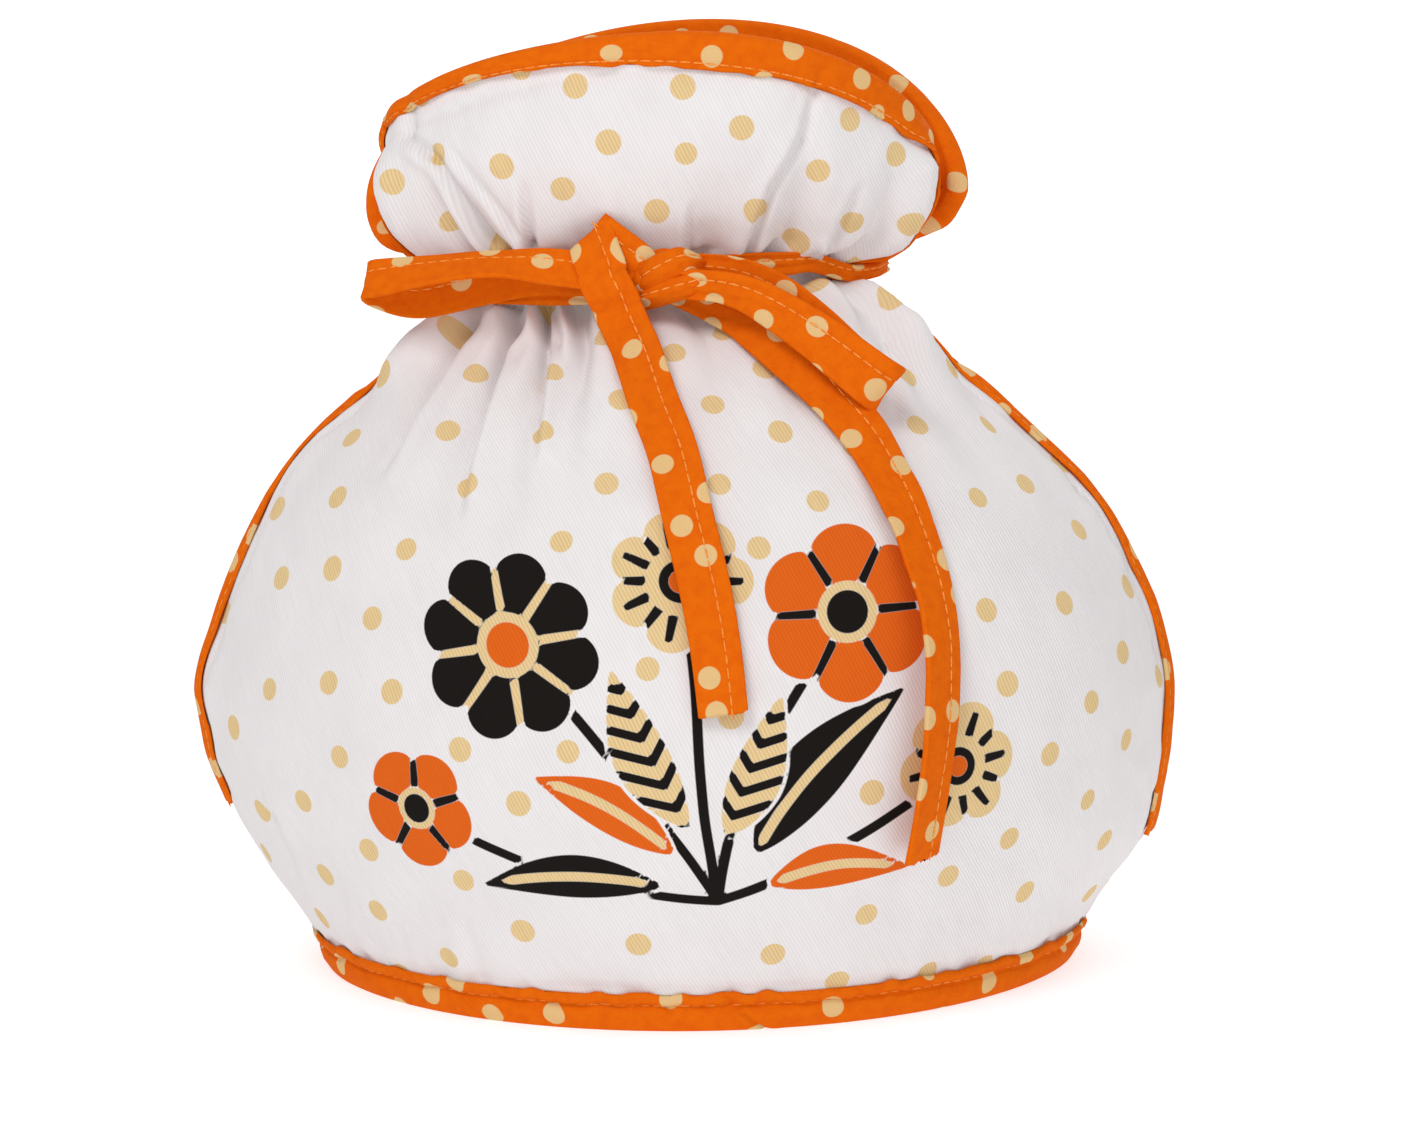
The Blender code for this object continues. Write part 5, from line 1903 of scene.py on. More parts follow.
STITCH_JOINS = (
    ("given", "Path", "curve", "Mesh"),
    ("curve", "Curve", "even", "Curve"),
    ("given", "Pitch", "even", "Length"),
    ("given", "Length", "size", "X"),
    ("given", "Width", "size", "Y"),
    ("given", "Width", "size", "Z"),
    ("ball", "Mesh", "shaped", "Geometry"),
    ("size", "Vector", "shaped", "Scale"),
    ("along", "Tangent", "laid", "Vector"),
    ("laid", "Rotation", "faced", "Rotation"),
    ("outward", "Attribute", "faced", "Vector"),
    ("given", "Seed", "vary", "Seed"),
    ("even", "Curve", "placed", "Points"),
    ("shaped", "Geometry", "placed", "Instance"),
    ("faced", "Rotation", "placed", "Rotation"),
    ("vary", "Value", "placed", "Scale"),
    ("placed", "Instances", "real", "Geometry"),
    ("real", "Geometry", "finish", "Geometry"),
    ("finish", "Geometry", "result", "Stitches"),
)


@dataclass
class StitchRow:
    """Rows of stitches laid along lines by Geometry Nodes."""

    name: str
    lines: list[StitchLine]
    thread: bpy.types.Material
    pitch: float = 3.1
    length: float = 2.95
    width: float = 0.45
    least: Triple = (0.85, 0.9, 0.9)
    most: Triple = (1.05, 1.1, 1.1)
    seed: int = 3

    def path(self) -> bpy.types.Object:
        """Make the lines as one mesh of edges with their outward directions.

        Returns:
            The object that carries them.
        """
        points: list[Array] = []
        outward: list[Array] = []
        edges: list[tuple[int, int]] = []
        start = 0
        for line in self.lines:
            count = len(line.points)
            edges += [(start + i, start + i + 1) for i in range(count - 1)]
            if line.closed:
                edges.append((start + count - 1, start))
            points.append(line.points * MM)
            outward.append(line.outward)
            start += count
        mesh = bpy.data.meshes.new(self.name)
        mesh.from_pydata(np.concatenate(points).tolist(), edges, [])
        store = mesh.attributes.new(OUTWARD, "FLOAT_VECTOR", "POINT")
        store.data.foreach_set("vector", np.concatenate(outward).astype(np.float32).ravel())
        return placed(self.name, mesh)

    def tree(self) -> bpy.types.GeometryNodeTree:
        """Make the tree that puts a small rounded stitch at every pitch.

        Returns:
            The tree, whose inputs are in metres.
        """
        tree = bpy.data.node_groups.new(self.name, "GeometryNodeTree")
        for label, way, kind in STITCH_SOCKETS:
            tree.interface.new_socket(label, in_out=way, socket_type=kind)
        nodes = {label: tree.nodes.new(kind) for label, kind in STITCH_NODES.items()}
        nodes["even"].mode = "LENGTH"
        nodes["ball"].inputs["Radius"].default_value = 0.5
        nodes["ball"].inputs["Subdivisions"].default_value = 2
        nodes["outward"].data_type = "FLOAT_VECTOR"
        nodes["outward"].inputs["Name"].default_value = OUTWARD
        nodes["laid"].axis = "X"
        nodes["faced"].axis = "Z"
        nodes["faced"].pivot_axis = "X"
        nodes["vary"].data_type = "FLOAT_VECTOR"
        nodes["vary"].inputs["Min"].default_value = self.least
        nodes["vary"].inputs["Max"].default_value = self.most
        nodes["finish"].inputs["Material"].default_value = self.thread
        for source, output, target, socket in STITCH_JOINS:
            tree.links.new(nodes[source].outputs[output], nodes[target].inputs[socket])
        return tree

    def build(self) -> bpy.types.Object:
        """Build the stitches.

        Returns:
            One plain mesh of all the row's stitches.
        """
        item = self.path()
        tree = self.tree()
        sewing = item.modifiers.new("stitches", "NODES")
        sewing.node_group = tree
        sizes = {"Pitch": self.pitch * MM, "Length": self.length * MM, "Width": self.width * MM,
                 "Seed": self.seed}
        for socket in tree.interface.items_tree:
            if socket.in_out == "INPUT" and socket.name in sizes:
                sewing[socket.identifier] = sizes[socket.name]
        graph = bpy.context.evaluated_depsgraph_get()
        made = bpy.data.meshes.new_from_object(item.evaluated_get(graph))
        item.modifiers.clear()
        item.data = made
        made.name = self.name
        made.shade_smooth()
        if not made.materials:
            made.materials.append(self.thread)
        return item


def tape_piece(name: str, rows: list[tuple[Array, float]], way: Array,
               closed: bool) -> bpy.types.Object:
    """Make a folded tape from rows of points along it.

    Args:
        name: Name of the piece.
        rows: Points of each row and its place across the flat tape.
        way: Length along the tape at each point of a row.
        closed: Whether the tape's ends meet.

    Returns:
        The tape, its rows joined into one closed body.
    """
    points = np.stack([points for points, _ in rows], axis=1)
    flat = np.stack([stacked(way, np.full_like(way, place)) for _, place in rows], axis=1)
    mesh = ClothMesh()
    mesh.add(points, tube_faces(len(way), len(rows), closed), flat)
    return mesh.piece(name)


@dataclass
class EdgeBinding:
    """Spotted tape folded over one panel's free edge, with its row of stitches."""

    shape: PanelShape
    tucks: Pair = (0.0, 0.0)
    width: float = EDGE_TAPE_WIDTH
    step: float = 1.3
    rows_in: tuple[float, ...] = (0.0, 0.25, 0.7, 1.2, 1.7, 2.2, 2.8, 3.6, 4.6, 5.6, 6.6)
    last_row: float = 0.3
    sewn_rounding: float = 0.7
    ripple: float = 0.45
    ripple_length: float = 5.7
    wander: float = 0.75
    wander_length: float = 4.6
    outer_draws: Pair = (0.0, 20.0)
    inner_draws: Pair = (50.0, 70.0)
    puff: float = 0.35
    puff_at: float = 4.4
    puff_width: float = 2.0
    stitch_inset: float = 1.4
    stitch_rise: float = 0.12
    groove: float = 0.4
    groove_width: float = 0.55
    fold_points: int = 11
    fold_bulge: float = 1.5
    fold_cloth: float = 5.0
    inner_end: float = 0.1
    inner_fold: float = 0.5
    flap_tuck_from: float = 16.0
    flap_tuck_reach: float = 70.0
    flap_tuck_rise: float = 12.0
    body_tuck_foot: float = 55.0
    body_tuck_rise: float = 30.0
    body_tuck_top: float = 168.0
    body_tuck_fade: float = 12.0
    seed: int = 60

    def __post_init__(self) -> None:
        """Work out the stations round the edge, the way inwards and the length along it."""
        self.edge = self.shape.free_edge(self.step)
        self.rate = self.shape.inward_rate(self.edge)
        self.way = run_lengths(self.shape.bare(self.edge[:, 0], self.edge[:, 1]))
        self.cloth = wall(self.edge[:, 1])
        self.reach = self.kept_share()
        self.uneven = Unevenness(self.seed + self.shape.side)

    def kept_share(self) -> Array:
        """Share of its width that the outer leg keeps: less where it is sewn down narrower.

        Returns:
            The share at each station.
        """
        height = self.edge[:, 1]
        x = self.shape.bare(self.edge[:, 0], height)[:, 0]
        flap = (smooth_step((height - FLAP_CURLS_BY) / self.flap_tuck_rise)
                * smooth_step((self.flap_tuck_from - x) / self.flap_tuck_reach))
        body = (smooth_step((height - self.body_tuck_foot) / self.body_tuck_rise)
                * smooth_step((self.body_tuck_top - height) / self.body_tuck_fade))
        return 1.0 - self.tucks[0] * flap - self.tucks[1] * body

    def section(self) -> tuple[Array, Array, Array]:
        """Section of one leg of the fold, from its sewn edge to the fold.

        Returns:
            Distance in from the cloth's edge, distance proud of the cloth and distance
            from the sewn edge, for each point.
        """
        inwards = np.append(self.width - np.array(self.rows_in), self.last_row)
        from_edge = self.width - inwards
        stitched = self.width - self.stitch_inset
        groove = self.groove * hump(inwards - stitched, self.groove_width)
        puff = self.puff * hump(from_edge - self.puff_at, self.puff_width)
        lift = TAPE_GAP + TAPE_WALL * rounded(from_edge, self.sewn_rounding) - groove + puff
        lift[-1] = TAPE_TOP
        return inwards, lift, from_edge

    def at(self, inwards: Array, proud: Array) -> Array:
        """Points at distances in from the edge and proud of the cloth."""
        place = self.edge + self.rate * inwards[:, None]
        return self.shape.point(place[:, 0], place[:, 1], proud)

    def leg(self, front: bool) -> list[tuple[Array, float]]:
        """One leg of the fold, from its sewn edge to the fold.

        Args:
            front: Whether it is the outer leg.

        Returns:
            Points and distance from the sewn edge, for each row along the tape.
        """
        rows = []
        shift_from, rise_from = self.outer_draws if front else self.inner_draws
        for inwards, lift, from_edge in zip(*self.section()):
            share = inwards / self.width
            shift = self.uneven.along(self.way / self.wander_length + shift_from) * share ** 3
            ripple = self.uneven.along(self.way / self.ripple_length + rise_from) * share
            proud = lift + self.ripple * ripple
            inside = np.full_like(self.way, inwards) + self.wander * shift
            if front:
                inside = inside * self.reach
            else:
                proud = -self.cloth - proud
            rows.append((self.at(inside, proud), from_edge))
        return rows

    def stitch_line(self) -> StitchLine:
        """Line of the stitches along the outer leg's sewn edge.

        Returns:
            The line.
        """
        stitched = self.width - self.stitch_inset
        inset = self.reach * stitched
        lift = self.uneven.along(self.way / self.ripple_length + self.outer_draws[1])
        proud = TAPE_TOP - self.groove + self.stitch_rise
        proud = proud + self.ripple * lift * (stitched / self.width)
        place = self.edge + self.rate * inset[:, None]
        return StitchLine(self.at(inset, proud), self.shape.normal(place[:, 0], place[:, 1]))

    def build(self) -> tuple[bpy.types.Object, StitchLine]:
        """Build the tape.

        Returns:
            The closed tape and the line of its stitches.
        """
        cloth = self.cloth
        rows = self.leg(True)
        for k in range(1, self.fold_points):
            turn = math.pi * k / self.fold_points
            proud = -0.5 * cloth + (0.5 * cloth + TAPE_TOP) * math.cos(turn)
            inside = np.full_like(self.way, -self.fold_bulge * math.sin(turn))
            over = self.width + self.fold_cloth * k / self.fold_points
            rows.append((self.at(inside, proud), over))
        whole = 2.0 * self.width + self.fold_cloth
        rows += [(points, whole - from_edge) for points, from_edge in reversed(self.leg(False))]
        sewn = self.width - self.inner_end
        outer, inner = np.full_like(cloth, 0.5 * TAPE_GAP), -cloth - 0.5 * TAPE_GAP
        for inwards in (sewn, self.inner_fold):
            rows.append((self.at(np.full_like(cloth, inwards), inner), whole))
        for inwards in (self.inner_fold, sewn):
            rows.append((self.at(inwards * self.reach, outer), 0.0))
        return tape_piece(self.shape.name + "_binding", rows, self.way, False), self.stitch_line()


@dataclass
class HemBinding:
    """Spotted tape folded over both panels' lower edges, closed into a ring."""

    width: float = HEM_TAPE_WIDTH
    columns: int = 230
    rows_down: tuple[float, ...] = (0.0, 0.25, 0.7, 1.3, 2.0, 2.5, 3.0, 3.5, 4.0, 5.0, 6.2, 7.4,
                                    8.3, 8.9, 9.3)
    sewn_rounding: float = 0.7
    ripple: float = 0.8
    shift_length: float = 3.9
    rise_length: float = 5.1
    outer_draws: Pair = (0.0, 15.0)
    inner_draws: Pair = (44.0, 66.0)
    puff: float = 0.6
    puff_at: float = 6.0
    puff_width: float = 1.8
    foot_height: float = 1.4
    foot_turn_in: float = 0.9
    stitch_drop: float = 3.0
    stitch_rise: float = 0.12
    groove: float = 1.15
    groove_width: float = 0.55
    inner_end: float = 0.3
    inner_foot: float = 1.2
    join_from: Pair = (8.0, 9.5)
    join_to: Pair = (18.5, 0.5)
    join_depth: float = 0.8
    join_width: float = 0.8
    join_lip: float = 0.3
    lip_off: float = 2.0
    lip_width: float = 1.2
    seed: int = 80

    def ring(self, level: Array, proud: Array) -> Array:
        """Points round both panels at levels and proud of the cloth, never below the floor.

        Args:
            level: Level at each station.
            proud: Distance off the cloth.

        Returns:
            The points.
        """
        half = self.columns
        across = np.linspace(-SEAM_SHARE, SEAM_SHARE, half)
        points = []
        for shape, order, part in ((FRONT, 1, slice(0, half)), (BACK, -1, slice(half, 2 * half))):
            low = np.maximum(level[part], PANEL_FOOT)
            made = shape.point(across[::order], low, proud[part])
            made[:, 2] += np.minimum(level[part] - PANEL_FOOT, 0.0)
            points.append(made)
        joined = np.concatenate(points)
        joined[:, 2] = np.maximum(joined[:, 2], 0.0)
        return joined

    def way(self) -> Array:
        """Length round the ring at each station."""
        count = 2 * self.columns
        return run_lengths(self.ring(np.full(count, 5.0), np.zeros(count)))

    def join_line(self, level: float) -> Array:
        """Depth of the slanted seam where the tape's two ends meet.

        Args:
            level: Level on the tape.

        Returns:
            Depth at each station.
        """
        count = 2 * self.columns
        x = self.ring(np.full(count, max(level, PANEL_FOOT)), np.zeros(count))[:, 0]
        share = (level - self.join_from[1]) / (self.join_to[1] - self.join_from[1])
        seam = self.join_from[0] + share * (self.join_to[0] - self.join_from[0])
        front = np.arange(count) < self.columns
        off = np.abs(x - seam)
        depth = (self.join_depth * hump(off, self.join_width)
                 - self.join_lip * hump(off - self.lip_off, self.lip_width))
        return np.where(front, depth, 0.0)

    def section(self) -> tuple[Array, Array, Array]:
        """Section of one leg of the fold, from its sewn edge down to the floor.

        Returns:
            Level, distance below the sewn edge and distance proud, for each point.
        """
        levels = self.width - np.array(self.rows_down)
        drop = self.width - levels
        groove = self.groove * hump(drop - self.stitch_drop, self.groove_width)
        puff = self.puff * hump(drop - self.puff_at, self.puff_width)
        foot = np.clip((self.foot_height - levels) / self.foot_height, 0.0, 1.0)
        lift = (TAPE_GAP + TAPE_WALL * rounded(drop, self.sewn_rounding) - groove + puff
                - self.foot_turn_in * foot ** 2)
        return levels, drop, lift

    def leg(self, front: bool, way: Array, uneven: Unevenness) -> list[tuple[Array, float]]:
        """One leg of the fold, from its sewn edge down to the floor.

        Args:
            front: Whether it is the outer leg.
            way: Length round the ring at each station.
            uneven: Wander of the tape.

        Returns:
            Points and distance below the sewn edge, for each row round the ring.
        """
        rows = []
        shift_from, rise_from = self.outer_draws if front else self.inner_draws
        for base, drop, lift in zip(*self.section()):
            share = np.clip(base / self.width, 0.0, 1.0)
            shift = self.ripple * uneven.along(way / self.shift_length + shift_from) * share ** 2
            ripple = 0.5 * self.ripple * uneven.along(way / self.rise_length + rise_from) * share
            proud = lift + ripple
            proud = proud - self.join_line(base) if front else -WADDED_WALL - proud
            rows.append((self.ring(np.full_like(way, base) + shift, proud), drop))
        return rows

    def build(self) -> tuple[bpy.types.Object, StitchLine]:
        """Build the tape.

        Returns:
            The closed ring and the line of its stitches.
        """
        way = self.way()
        uneven = Unevenness(self.seed)
        whole = 2.0 * self.width + WADDED_WALL
        rows = self.leg(True, way, uneven)
        rows += [(points, whole - drop) for points, drop in reversed(self.leg(False, way, uneven))]
        top = self.width - self.inner_end
        outer, inner = 0.5 * TAPE_GAP, -WADDED_WALL - 0.5 * TAPE_GAP
        for level, proud, place in ((top, inner, whole), (self.inner_foot, inner, whole),
                                    (self.inner_foot, outer, 0.0), (top, outer, 0.0)):
            rows.append((self.ring(np.full_like(way, level), np.full_like(way, proud)), place))
        level = np.full_like(way, self.width - self.stitch_drop)
        ripple = uneven.along(way / self.rise_length + self.outer_draws[1])
        ripple = 0.5 * self.ripple * ripple
        proud = TAPE_TOP - self.groove + self.stitch_rise + ripple * (level / self.width)
        line = self.ring(level, proud)
        outward = unit(self.ring(level, proud + 1.0) - line)
        return tape_piece("hem_binding", rows, way, True), StitchLine(line, outward, True)


@dataclass
class Ribbon:
    """One strand of the tie: a flat folded ribbon that follows a smooth route."""

    points: Array
    faces: Array
    widths: Array
    seed: int
    flat_width: float = 12.0
    thickness: float = 1.5
    edge_share: float = 0.35
    rounds_from: float = 0.86
    cup: float = 0.35
    cup_length: float = 22.0
    crumple: float = 0.35
    crumple_length: float = 9.0
    pleat: float = 0.0
    pleat_reach: float = 10.0
    pleats: float = 2.6
    pleats_drift: float = 14.0
    pleat_at_end: bool = False
    roll: float = 0.0
    slant: float = 0.0
    slant_reach: float = 8.0
    jag: float = 0.0
    jag_reach: float = 1.5
    stitch_at: float = -0.36
    stitch_sink: float = 0.1
    groove: float = 0.22
    groove_width: float = 0.07
    closed: bool = False
    across_points: int = 25

    def __post_init__(self) -> None:
        """Work out the strand's own directions and its length."""
        run = np.gradient(self.points, axis=0)
        if self.closed:
            run = np.roll(self.points, -1, axis=0) - np.roll(self.points, 1, axis=0)
        self.run = unit(run)
        self.over = unit(np.cross(self.run, self.faces))
        self.face = unit(np.cross(self.over, self.run))
        self.way = run_lengths(self.points)

    def relief(self, over: Array) -> Array:
        """How far the strand's middle layer moves off its route, by place across it.

        Args:
            over: Places across, from -1 to 1.

        Returns:
            Millimetres for each station and place.
        """
        wander = Unevenness(self.seed)
        way = self.way[:, None]
        curve = self.cup * (over ** 2 - 0.33) * wander.along(way / self.cup_length + 3.0)
        waves = self.crumple * wander.over(way / self.crumple_length + 10.0, over * 1.1 + 7.0)
        knot_off = np.minimum(way, self.way[-1] - way) if self.pleat_at_end else way
        turns = self.pleats * math.pi * over + 2.0 * wander.along(way / self.pleats_drift)
        pleats = self.pleat * np.cos(turns) * np.exp(-knot_off / self.pleat_reach)
        return curve + waves + pleats - self.roll * over ** 2

    def surface(self, over: Array, lift: Array) -> Array:
        """Points at places across the strand, so far off its middle layer.

        Args:
            over: Places across, from -1 to 1, one for each point of a section.
            lift: Distance off the middle layer, one for each point of a section.

        Returns:
            Points of shape (stations, section points, 3).
        """
        over = np.broadcast_to(over, (len(self.points), len(over)))
        half = 0.5 * self.widths[:, None] * over
        off = self.relief(over) + lift
        way = self.way[:, None]
        fray = self.jag * Unevenness(self.seed + 50).along(over * 8.0 + 20.0)
        ahead = (self.slant * half * np.exp(-way / self.slant_reach)
                 + fray * np.exp(-(self.way[-1] - way) / self.jag_reach))
        return (self.points[:, None] + self.over[:, None] * half[..., None]
                + self.face[:, None] * off[..., None] + self.run[:, None] * ahead[..., None])

    def section(self) -> tuple[Array, Array]:
        """Places across and lifts of the rounded flat section.

        Returns:
            Both, round the whole section.
        """
        over = np.sin(np.linspace(-0.5 * math.pi, 0.5 * math.pi, self.across_points) * 0.92)
        over = over / over[-1]
        past = ((np.abs(over) - self.rounds_from) / (1.0 - self.rounds_from)).clip(0.0, 1.0)
        rounding = np.sqrt(np.clip(1.0 - past ** 2, 0.0, 1.0))
        half = 0.5 * self.thickness * (self.edge_share + (1.0 - self.edge_share) * rounding)
        top = half - self.groove * hump(over - self.stitch_at, self.groove_width)
        return np.concatenate([over, over[::-1]]), np.concatenate([top, -half[::-1]])

    def add_to(self, mesh: ClothMesh, offset: float) -> None:
        """Add the strand's body to a mesh.

        Args:
            mesh: The mesh that gathers the strands.
            offset: How far along the flat ribbon the strand starts.
        """
        over, lift = self.section()
        points = self.surface(over, lift)
        middle = 0.5 * self.flat_width
        across = middle * over * np.ones((len(self.points), 1))
        along = np.broadcast_to(self.way[:, None] + offset, across.shape)
        flat = stacked(along, across + middle)
        mesh.add(points, tube_faces(len(self.points), len(over), self.closed), flat)

    def stitches(self) -> list[StitchLine]:
        """Lines of the strand's stitches, on its face and on its back.

        Returns:
            The two lines.
        """
        lines = []
        for side in (1, -1):
            lift = side * (0.5 * self.thickness - self.stitch_sink)
            points = self.surface(np.array([self.stitch_at]), np.array([lift]))[:, 0]
            lines.append(StitchLine(points, self.face * side, self.closed))
        return lines


def smooth_rows(rows: Sequence[Sequence[float]], step: float,
                reach: Callable[[Sequence[float], Sequence[float]], float]) -> Array:
    """Smooth stations through a route's rows.

    Args:
        rows: The route's rows.
        step: About how far apart the stations are.
        reach: Distance between two rows.

    Returns:
        The stations, one row of values each.
    """
    last = len(rows) - 1
    stations: list[Array] = []
    for i in range(last):
        near = [np.array(rows[max(0, min(last, i + k))], float) for k in (-1, 0, 1, 2)]
        parts = max(2, round(reach(rows[i], rows[i + 1]) / step))
        for part in range(parts):
            share = part / parts
            slope = near[2] - near[0]
            bend = 2.0 * near[0] - 5.0 * near[1] + 4.0 * near[2] - near[3]
            turn = 3.0 * near[1] - near[0] - 3.0 * near[2] + near[3]
            stations.append(near[1] + 0.5 * share * (slope + share * (bend + share * turn)))
    stations.append(np.array(rows[-1], float))
    return np.array(stations)


def turned(normals: Array, runs: Array, degrees: Array) -> Array:
    """Normals turned about the runs of a ribbon.

    Args:
        normals: The normals.
        runs: Directions of the runs.
        degrees: The angles.

    Returns:
        The turned normals.
    """
    angle = np.radians(degrees)[:, None]
    along = np.sum(normals * runs, axis=-1, keepdims=True) * runs
    across = np.cross(runs, normals)
    return normals * np.cos(angle) + across * np.sin(angle) + along * (1 - np.cos(angle))


@dataclass
class Tie:
    """Ribbon drawn round the neck and tied in front in a bow with two loops and two tails."""

    step: float = 1.1
    band_width: float = 6.4
    band_clearance: float = 4.5
    band_side_clearance: float = 2.8
    band_drop: float = 1.4
    band_wall: float = 1.7
    band_rise: float = 4.6
    band_twist: float = 0.48
    band_stations: int = 150
    band_draws_in: float = 0.4
    band_side_from: float = 8.0
    band_side_reach: float = 34.0
    band_seed: int = 7
    strand_gap: float = 180.0
    knot_rings: int = 48
    knot_turns: int = 72
    knot_seed: int = 90
    knot_centre: Triple = (-7.0, -37.0, 174.4)
    knot_size: Triple = (15.0, 9.0, 12.0)
    knot_lean: float = math.radians(-28.0)

    def tail(self, rows: list[Lying], seed: int, pleat: float, slant: float) -> Ribbon:
        """A tail that hangs down the front cloth, with a raw end.

        Args:
            rows: The route.
            seed: Number that fixes its creases.
            pleat: Depth of its pleats.
            slant: Slope of its upper end.

        Returns:
            The tail.
        """
        stations = smooth_rows(rows, self.step, lambda a, b: math.dist(a[:2], b[:2]))
        x, height, proud, tilt, width = stations.T
        across = FRONT.across_at(x, height)
        face = FRONT.normal(across, height)
        face[:, 2] = 0.0
        face = unit(face)
        points = FRONT.bare(across, height) + face * proud[:, None]
        run = unit(np.gradient(points, axis=0))
        return Ribbon(points, turned(face, run, tilt), width, seed, pleat=pleat, slant=slant,
                      jag=0.5)

    def free_strand(self, rows: list[Free], seed: int, pleat: float, roll: float) -> Ribbon:
        """A strand that stands free of the cloth, such as a loop or a wrap of the knot.

        Args:
            rows: The route.
            seed: Number that fixes its creases.
            pleat: Depth of its pleats.
            roll: How far its edges roll back.

        Returns:
            The strand.
        """
        stations = smooth_rows(rows, self.step, lambda a, b: math.dist(a[:3], b[:3]))
        x, depth, height, lean, tilt, width = stations.T
        points = stacked(x, -depth, height)
        run = unit(np.gradient(points, axis=0))
        angle = np.radians(lean)
        upright = stacked(np.sin(angle), np.zeros_like(lean), np.cos(angle))
        face = unit(np.cross(run, upright))
        return Ribbon(points, turned(face, run, tilt), width, seed, pleat=pleat,
                      pleat_at_end=True, roll=roll)

    def band(self) -> Ribbon:
        """The ribbon drawn round the gathered neck.

        Returns:
            The closed band.
        """
        points, faces, shown = [], [], []
        count = self.band_stations
        for shape, order in ((FRONT, 1), (BACK, -1)):
            across = order * np.linspace(-1.0, 1.0, count)
            height = np.full(count, NECK_HEIGHT)
            face = shape.bare(across, height)
            outward = shape.normal(across, height)
            outward[:, 2] = 0.0
            outward = unit(outward)
            side = smooth_step((face[:, 0] - self.band_side_from) / self.band_side_reach)
            clearance = (self.band_clearance + self.band_side_clearance * across ** 4
                         - self.band_draws_in * side)
            middle = face + outward * (clearance + 0.5 * self.band_wall)[:, None]
            middle[:, 2] += self.band_rise * self.band_climb(shape, middle[:, 0]) - self.band_drop
            points.append(middle)
            faces.append(outward)
            shown.append(1.0 - self.band_twist * side)
        joined = np.concatenate(points)
        widths = self.band_width + Unevenness(self.band_seed).along(np.arange(len(joined)) / 17.0)
        widths = widths * np.concatenate(shown)
        return Ribbon(joined, np.concatenate(faces), widths, 15, thickness=self.band_wall,
                      crumple=0.5, pleat=0.22, pleat_reach=1000.0, closed=True)

    def band_climb(self, shape: PanelShape, x: Array) -> Array:
        """Share of its rise that the band has at x, right of the knot.

        Args:
            shape: The panel that the band lies on.
            x: Where on the x axis.

        Returns:
            The share.
        """
        if shape is BACK:
            return 0.08 * smooth_step((x - 20.0) / 25.0)
        return smooth_step((x + 8.0) / 14.0) * (1.0 - 0.92 * smooth_step((x - 28.0) / 14.0))

    def add_knot(self, mesh: ClothMesh) -> None:
        """Add the lumpy heart of the knot to a mesh.

        Args:
            mesh: The mesh that gathers the strands.
        """
        rings, turns = self.knot_rings, self.knot_turns
        polar = np.linspace(0.0, math.pi, rings + 2)[1:-1]
        turn = np.linspace(0.0, 2.0 * math.pi, turns, endpoint=False)
        polar, turn = np.meshgrid(polar, turn, indexing="ij")
        x = np.cos(polar)
        y = np.sin(polar) * np.cos(turn)
        z = np.sin(polar) * np.sin(turn)
        wander = Unevenness(self.knot_seed)
        folds = 0.10 * np.cos(5.0 * turn + 2.2 * x) + 0.10 * wander.over(2.2 * x + 5.0, turn * 1.6)
        waist = 1.0 - 0.16 * np.cos(2.4 * x) ** 2
        size = 0.5 * np.array(self.knot_size)
        girth = [part * (1.0 + folds) * waist for part in (y * size[1], z * size[2])]
        local = stacked(x * size[0], *girth)
        cos, sin = math.cos(self.knot_lean), math.sin(self.knot_lean)
        turned_x = local[..., 0] * cos + local[..., 2] * sin
        turned_z = -local[..., 0] * sin + local[..., 2] * cos
        points = stacked(turned_x, local[..., 1], turned_z) + np.array(self.knot_centre)
        flat = stacked(local[..., 0] + 30.0, local[..., 2] + 6.0)
        mesh.add(points, tube_faces(rings, turns, False), flat)

    def build(self) -> tuple[bpy.types.Object, list[StitchLine]]:
        """Build the tie.

        Returns:
            The tie as one piece and the lines of its stitches.
        """
        mesh = ClothMesh()
        strands = [
            self.band(),
            self.free_strand(LEFT_LOOP, 21, 0.8, 0.0),
            self.free_strand(RIGHT_LOOP, 22, 0.8, 0.0),
            self.tail(SHORT_TAIL, 23, 0.0, 0.32),
            self.tail(LONG_TAIL, 24, 0.5, 0.0),
            self.free_strand(FOLD_BACK, 25, 0.2, 0.6),
            self.free_strand(HIGH_WRAP, 26, 0.3, 1.8),
            self.free_strand(LOW_WRAP, 27, 0.3, 1.6),
        ]
        offset = 0.0
        lines: list[StitchLine] = []
        for strand in strands:
            strand.add_to(mesh, offset)
            lines += strand.stitches()
            offset += self.strand_gap
        self.add_knot(mesh)
        return mesh.piece("tie_ribbon"), lines


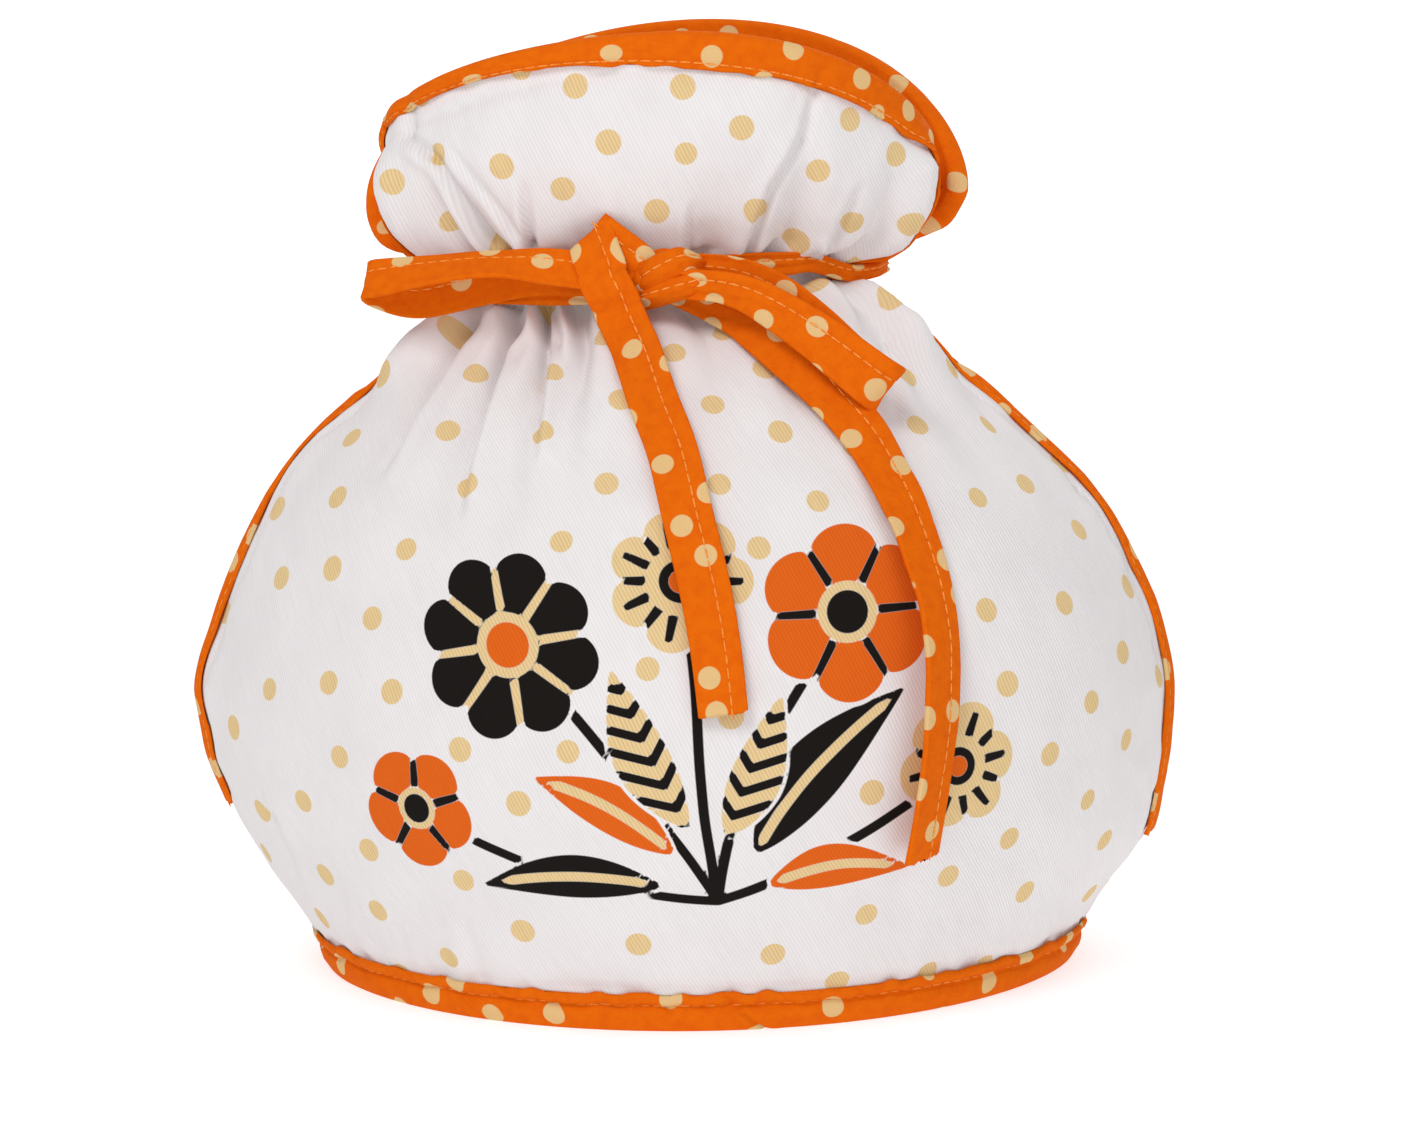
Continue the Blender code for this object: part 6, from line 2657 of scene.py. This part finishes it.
@dataclass
class Studio:
    """Pale floor, soft lights and the camera at the photograph's angle."""

    aim: Triple = (0.0, 0.0, 0.115)
    distance: float = 1.25
    elevation: float = math.radians(8.5)
    lens: float = 128.6
    shift_x: float = 0.0159
    shift_y: float = -0.0463
    glow: float = 0.32
    floor_half_width: float = 4.0
    floor_front: float = -3.0
    floor_back: float = 2.0
    curve_radius: float = 0.8
    curve_parts: int = 12
    backdrop_top: float = 3.0
    lights: tuple[tuple[str, Triple, float, float], ...] = (
        ("key", (-0.5, -1.0, 1.3), 0.6, 10.0),
        ("fill", (1.1, -1.2, 0.6), 1.2, 4.5),
        ("low", (-0.2, -1.4, 0.12), 0.6, 1.8),
        ("top", (0.0, 0.1, 1.5), 1.0, 3.0),
        ("back", (0.6, 1.3, 1.0), 1.0, 5.0),
    )

    def floor(self) -> bpy.types.Object:
        """Make the floor, which curves up into a backdrop far behind.

        Returns:
            The floor.
        """
        profile = [(self.floor_front, 0.0), (self.floor_back, 0.0)]
        radius = self.curve_radius
        for k in range(1, self.curve_parts + 1):
            turn = 0.5 * math.pi * k / self.curve_parts
            far = self.floor_back + radius * math.sin(turn)
            profile.append((far, radius * (1.0 - math.cos(turn))))
        profile.append((self.floor_back + radius, self.backdrop_top))
        points = [(x, y, z) for y, z in profile
                  for x in (-self.floor_half_width, self.floor_half_width)]
        faces = [(2 * k, 2 * k + 1, 2 * k + 3, 2 * k + 2) for k in range(len(profile) - 1)]
        mesh = bpy.data.meshes.new("floor")
        mesh.from_pydata(points, [], faces)
        mesh.shade_smooth()
        mesh.materials.append(FloorPaint("pale_floor").material())
        return placed("floor", mesh)

    def light(self, name: str, place: Triple, size: float, power: float) -> None:
        """Add a square soft light that faces the object.

        Args:
            name: Its name.
            place: Where it stands.
            size: Its side in metres.
            power: Its strength in watts.
        """
        lamp = bpy.data.lights.new(name, "AREA")
        lamp.size = size
        lamp.energy = power
        item = placed(name, lamp)
        item.location = place
        towards = Vector(self.aim) - Vector(place)
        item.rotation_euler = towards.to_track_quat("-Z", "Y").to_euler()

    def camera(self) -> None:
        """Add the camera."""
        lens = bpy.data.cameras.new("camera")
        lens.lens = self.lens
        lens.shift_x = self.shift_x
        lens.shift_y = self.shift_y
        item = placed("camera", lens)
        back = Vector((0.0, -math.cos(self.elevation), math.sin(self.elevation)))
        item.location = Vector(self.aim) + back * self.distance
        item.rotation_euler = (-back).to_track_quat("-Z", "Y").to_euler()
        bpy.context.scene.camera = item

    def build(self) -> bpy.types.Object:
        """Set up the studio.

        Returns:
            The floor.
        """
        world = bpy.data.worlds.new("studio")
        world.use_nodes = True
        backdrop = world.node_tree.nodes["Background"]
        backdrop.inputs["Color"].default_value = (1.0, 1.0, 1.0, 1.0)
        backdrop.inputs["Strength"].default_value = self.glow
        bpy.context.scene.world = world
        for name, place, size, power in self.lights:
            self.light(name, place, size, power)
        self.camera()
        bpy.context.scene.view_settings.view_transform = "Standard"
        return self.floor()


def dress(piece: bpy.types.Object, finish: bpy.types.Material | None, slot: Slot,
          *nodes: str) -> None:
    """Give a piece its finish, its body and the nodes it stands for.

    Args:
        piece: The piece.
        finish: Its material, or None where it has one.
        slot: Not used.
        nodes: The nodes that it replaces.
    """
    if finish is not None:
        piece.data.materials.append(finish)
    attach(piece, BODY)
    if nodes:
        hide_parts(*nodes)
    log.info("%s: %d faces", piece.name, len(piece.data.polygons))


def sew(name: str, lines: list[StitchLine], thread: bpy.types.Material) -> bpy.types.Object:
    """Build and dress one piece of stitches.

    Args:
        name: Name of the piece.
        lines: Its lines.
        thread: The thread.

    Returns:
        The stitches.
    """
    sewn = StitchRow(name, lines, thread).build()
    dress(sewn, None, Slot.TAPE)
    return sewn


@dataclass(frozen=True)
class Finishes:
    """The cosy's four materials."""

    printed: bpy.types.Material
    spotted: bpy.types.Material
    lining: bpy.types.Material
    thread: bpy.types.Material


def build_panel(shape: PanelShape, cloth: bpy.types.Object, tucks: Pair,
                finishes: Finishes) -> None:
    """Dress one panel's cloth, and build and dress its flap lining, binding and stitches.

    Args:
        shape: The panel's shape.
        cloth: Its built cloth.
        tucks: Shares by which its binding is sewn down narrower, on the flap and the body.
        finishes: The materials.
    """
    name = shape.name
    dress(cloth, finishes.printed, Slot.PRINTED, name + "_panel")
    flap = FlapLining(shape).build()
    dress(flap, finishes.lining, Slot.LINING, name + "_lining")
    binding, line = EdgeBinding(shape, tucks).build()
    dress(binding, finishes.spotted, Slot.TAPE, name + "_edge_tape")
    sewn = sew(name + "_binding_stitches", [line], finishes.thread)


def main() -> None:
    """Build and dress every piece of the cosy."""
    logging.basicConfig(level=logging.INFO, format="%(message)s")
    Studio().build()
    finishes = Finishes(
        TwillCotton("printed_twill", True).material(),
        SpottedCotton("spotted_tape_cotton", 0.5).material(),
        SpottedCotton("spotted_lining_cotton", 1.1).material(),
        Thread("orange_thread").material())
    front = ClothPanel(FRONT, columns=321, body_rows=161, flap_rows=56, seed=100,
                       spray=SprayPrint())
    build_panel(FRONT, front.build(), (FLAP_TUCK, BODY_TUCK), finishes)
    back = ClothPanel(BACK, columns=221, body_rows=117, flap_rows=44, seed=200, spray=None)
    build_panel(BACK, back.build(), (0.0, 0.0), finishes)
    hem, line = HemBinding().build()
    dress(hem, finishes.spotted, Slot.TAPE, "hem_tape")
    sewn = sew("hem_stitches", [line], finishes.thread)
    ribbon, lines = Tie().build()
    dress(ribbon, finishes.spotted, Slot.TAPE, "tie")
    sewn = sew("tie_stitches", lines, finishes.thread)


if __name__ == "__main__":
    main()
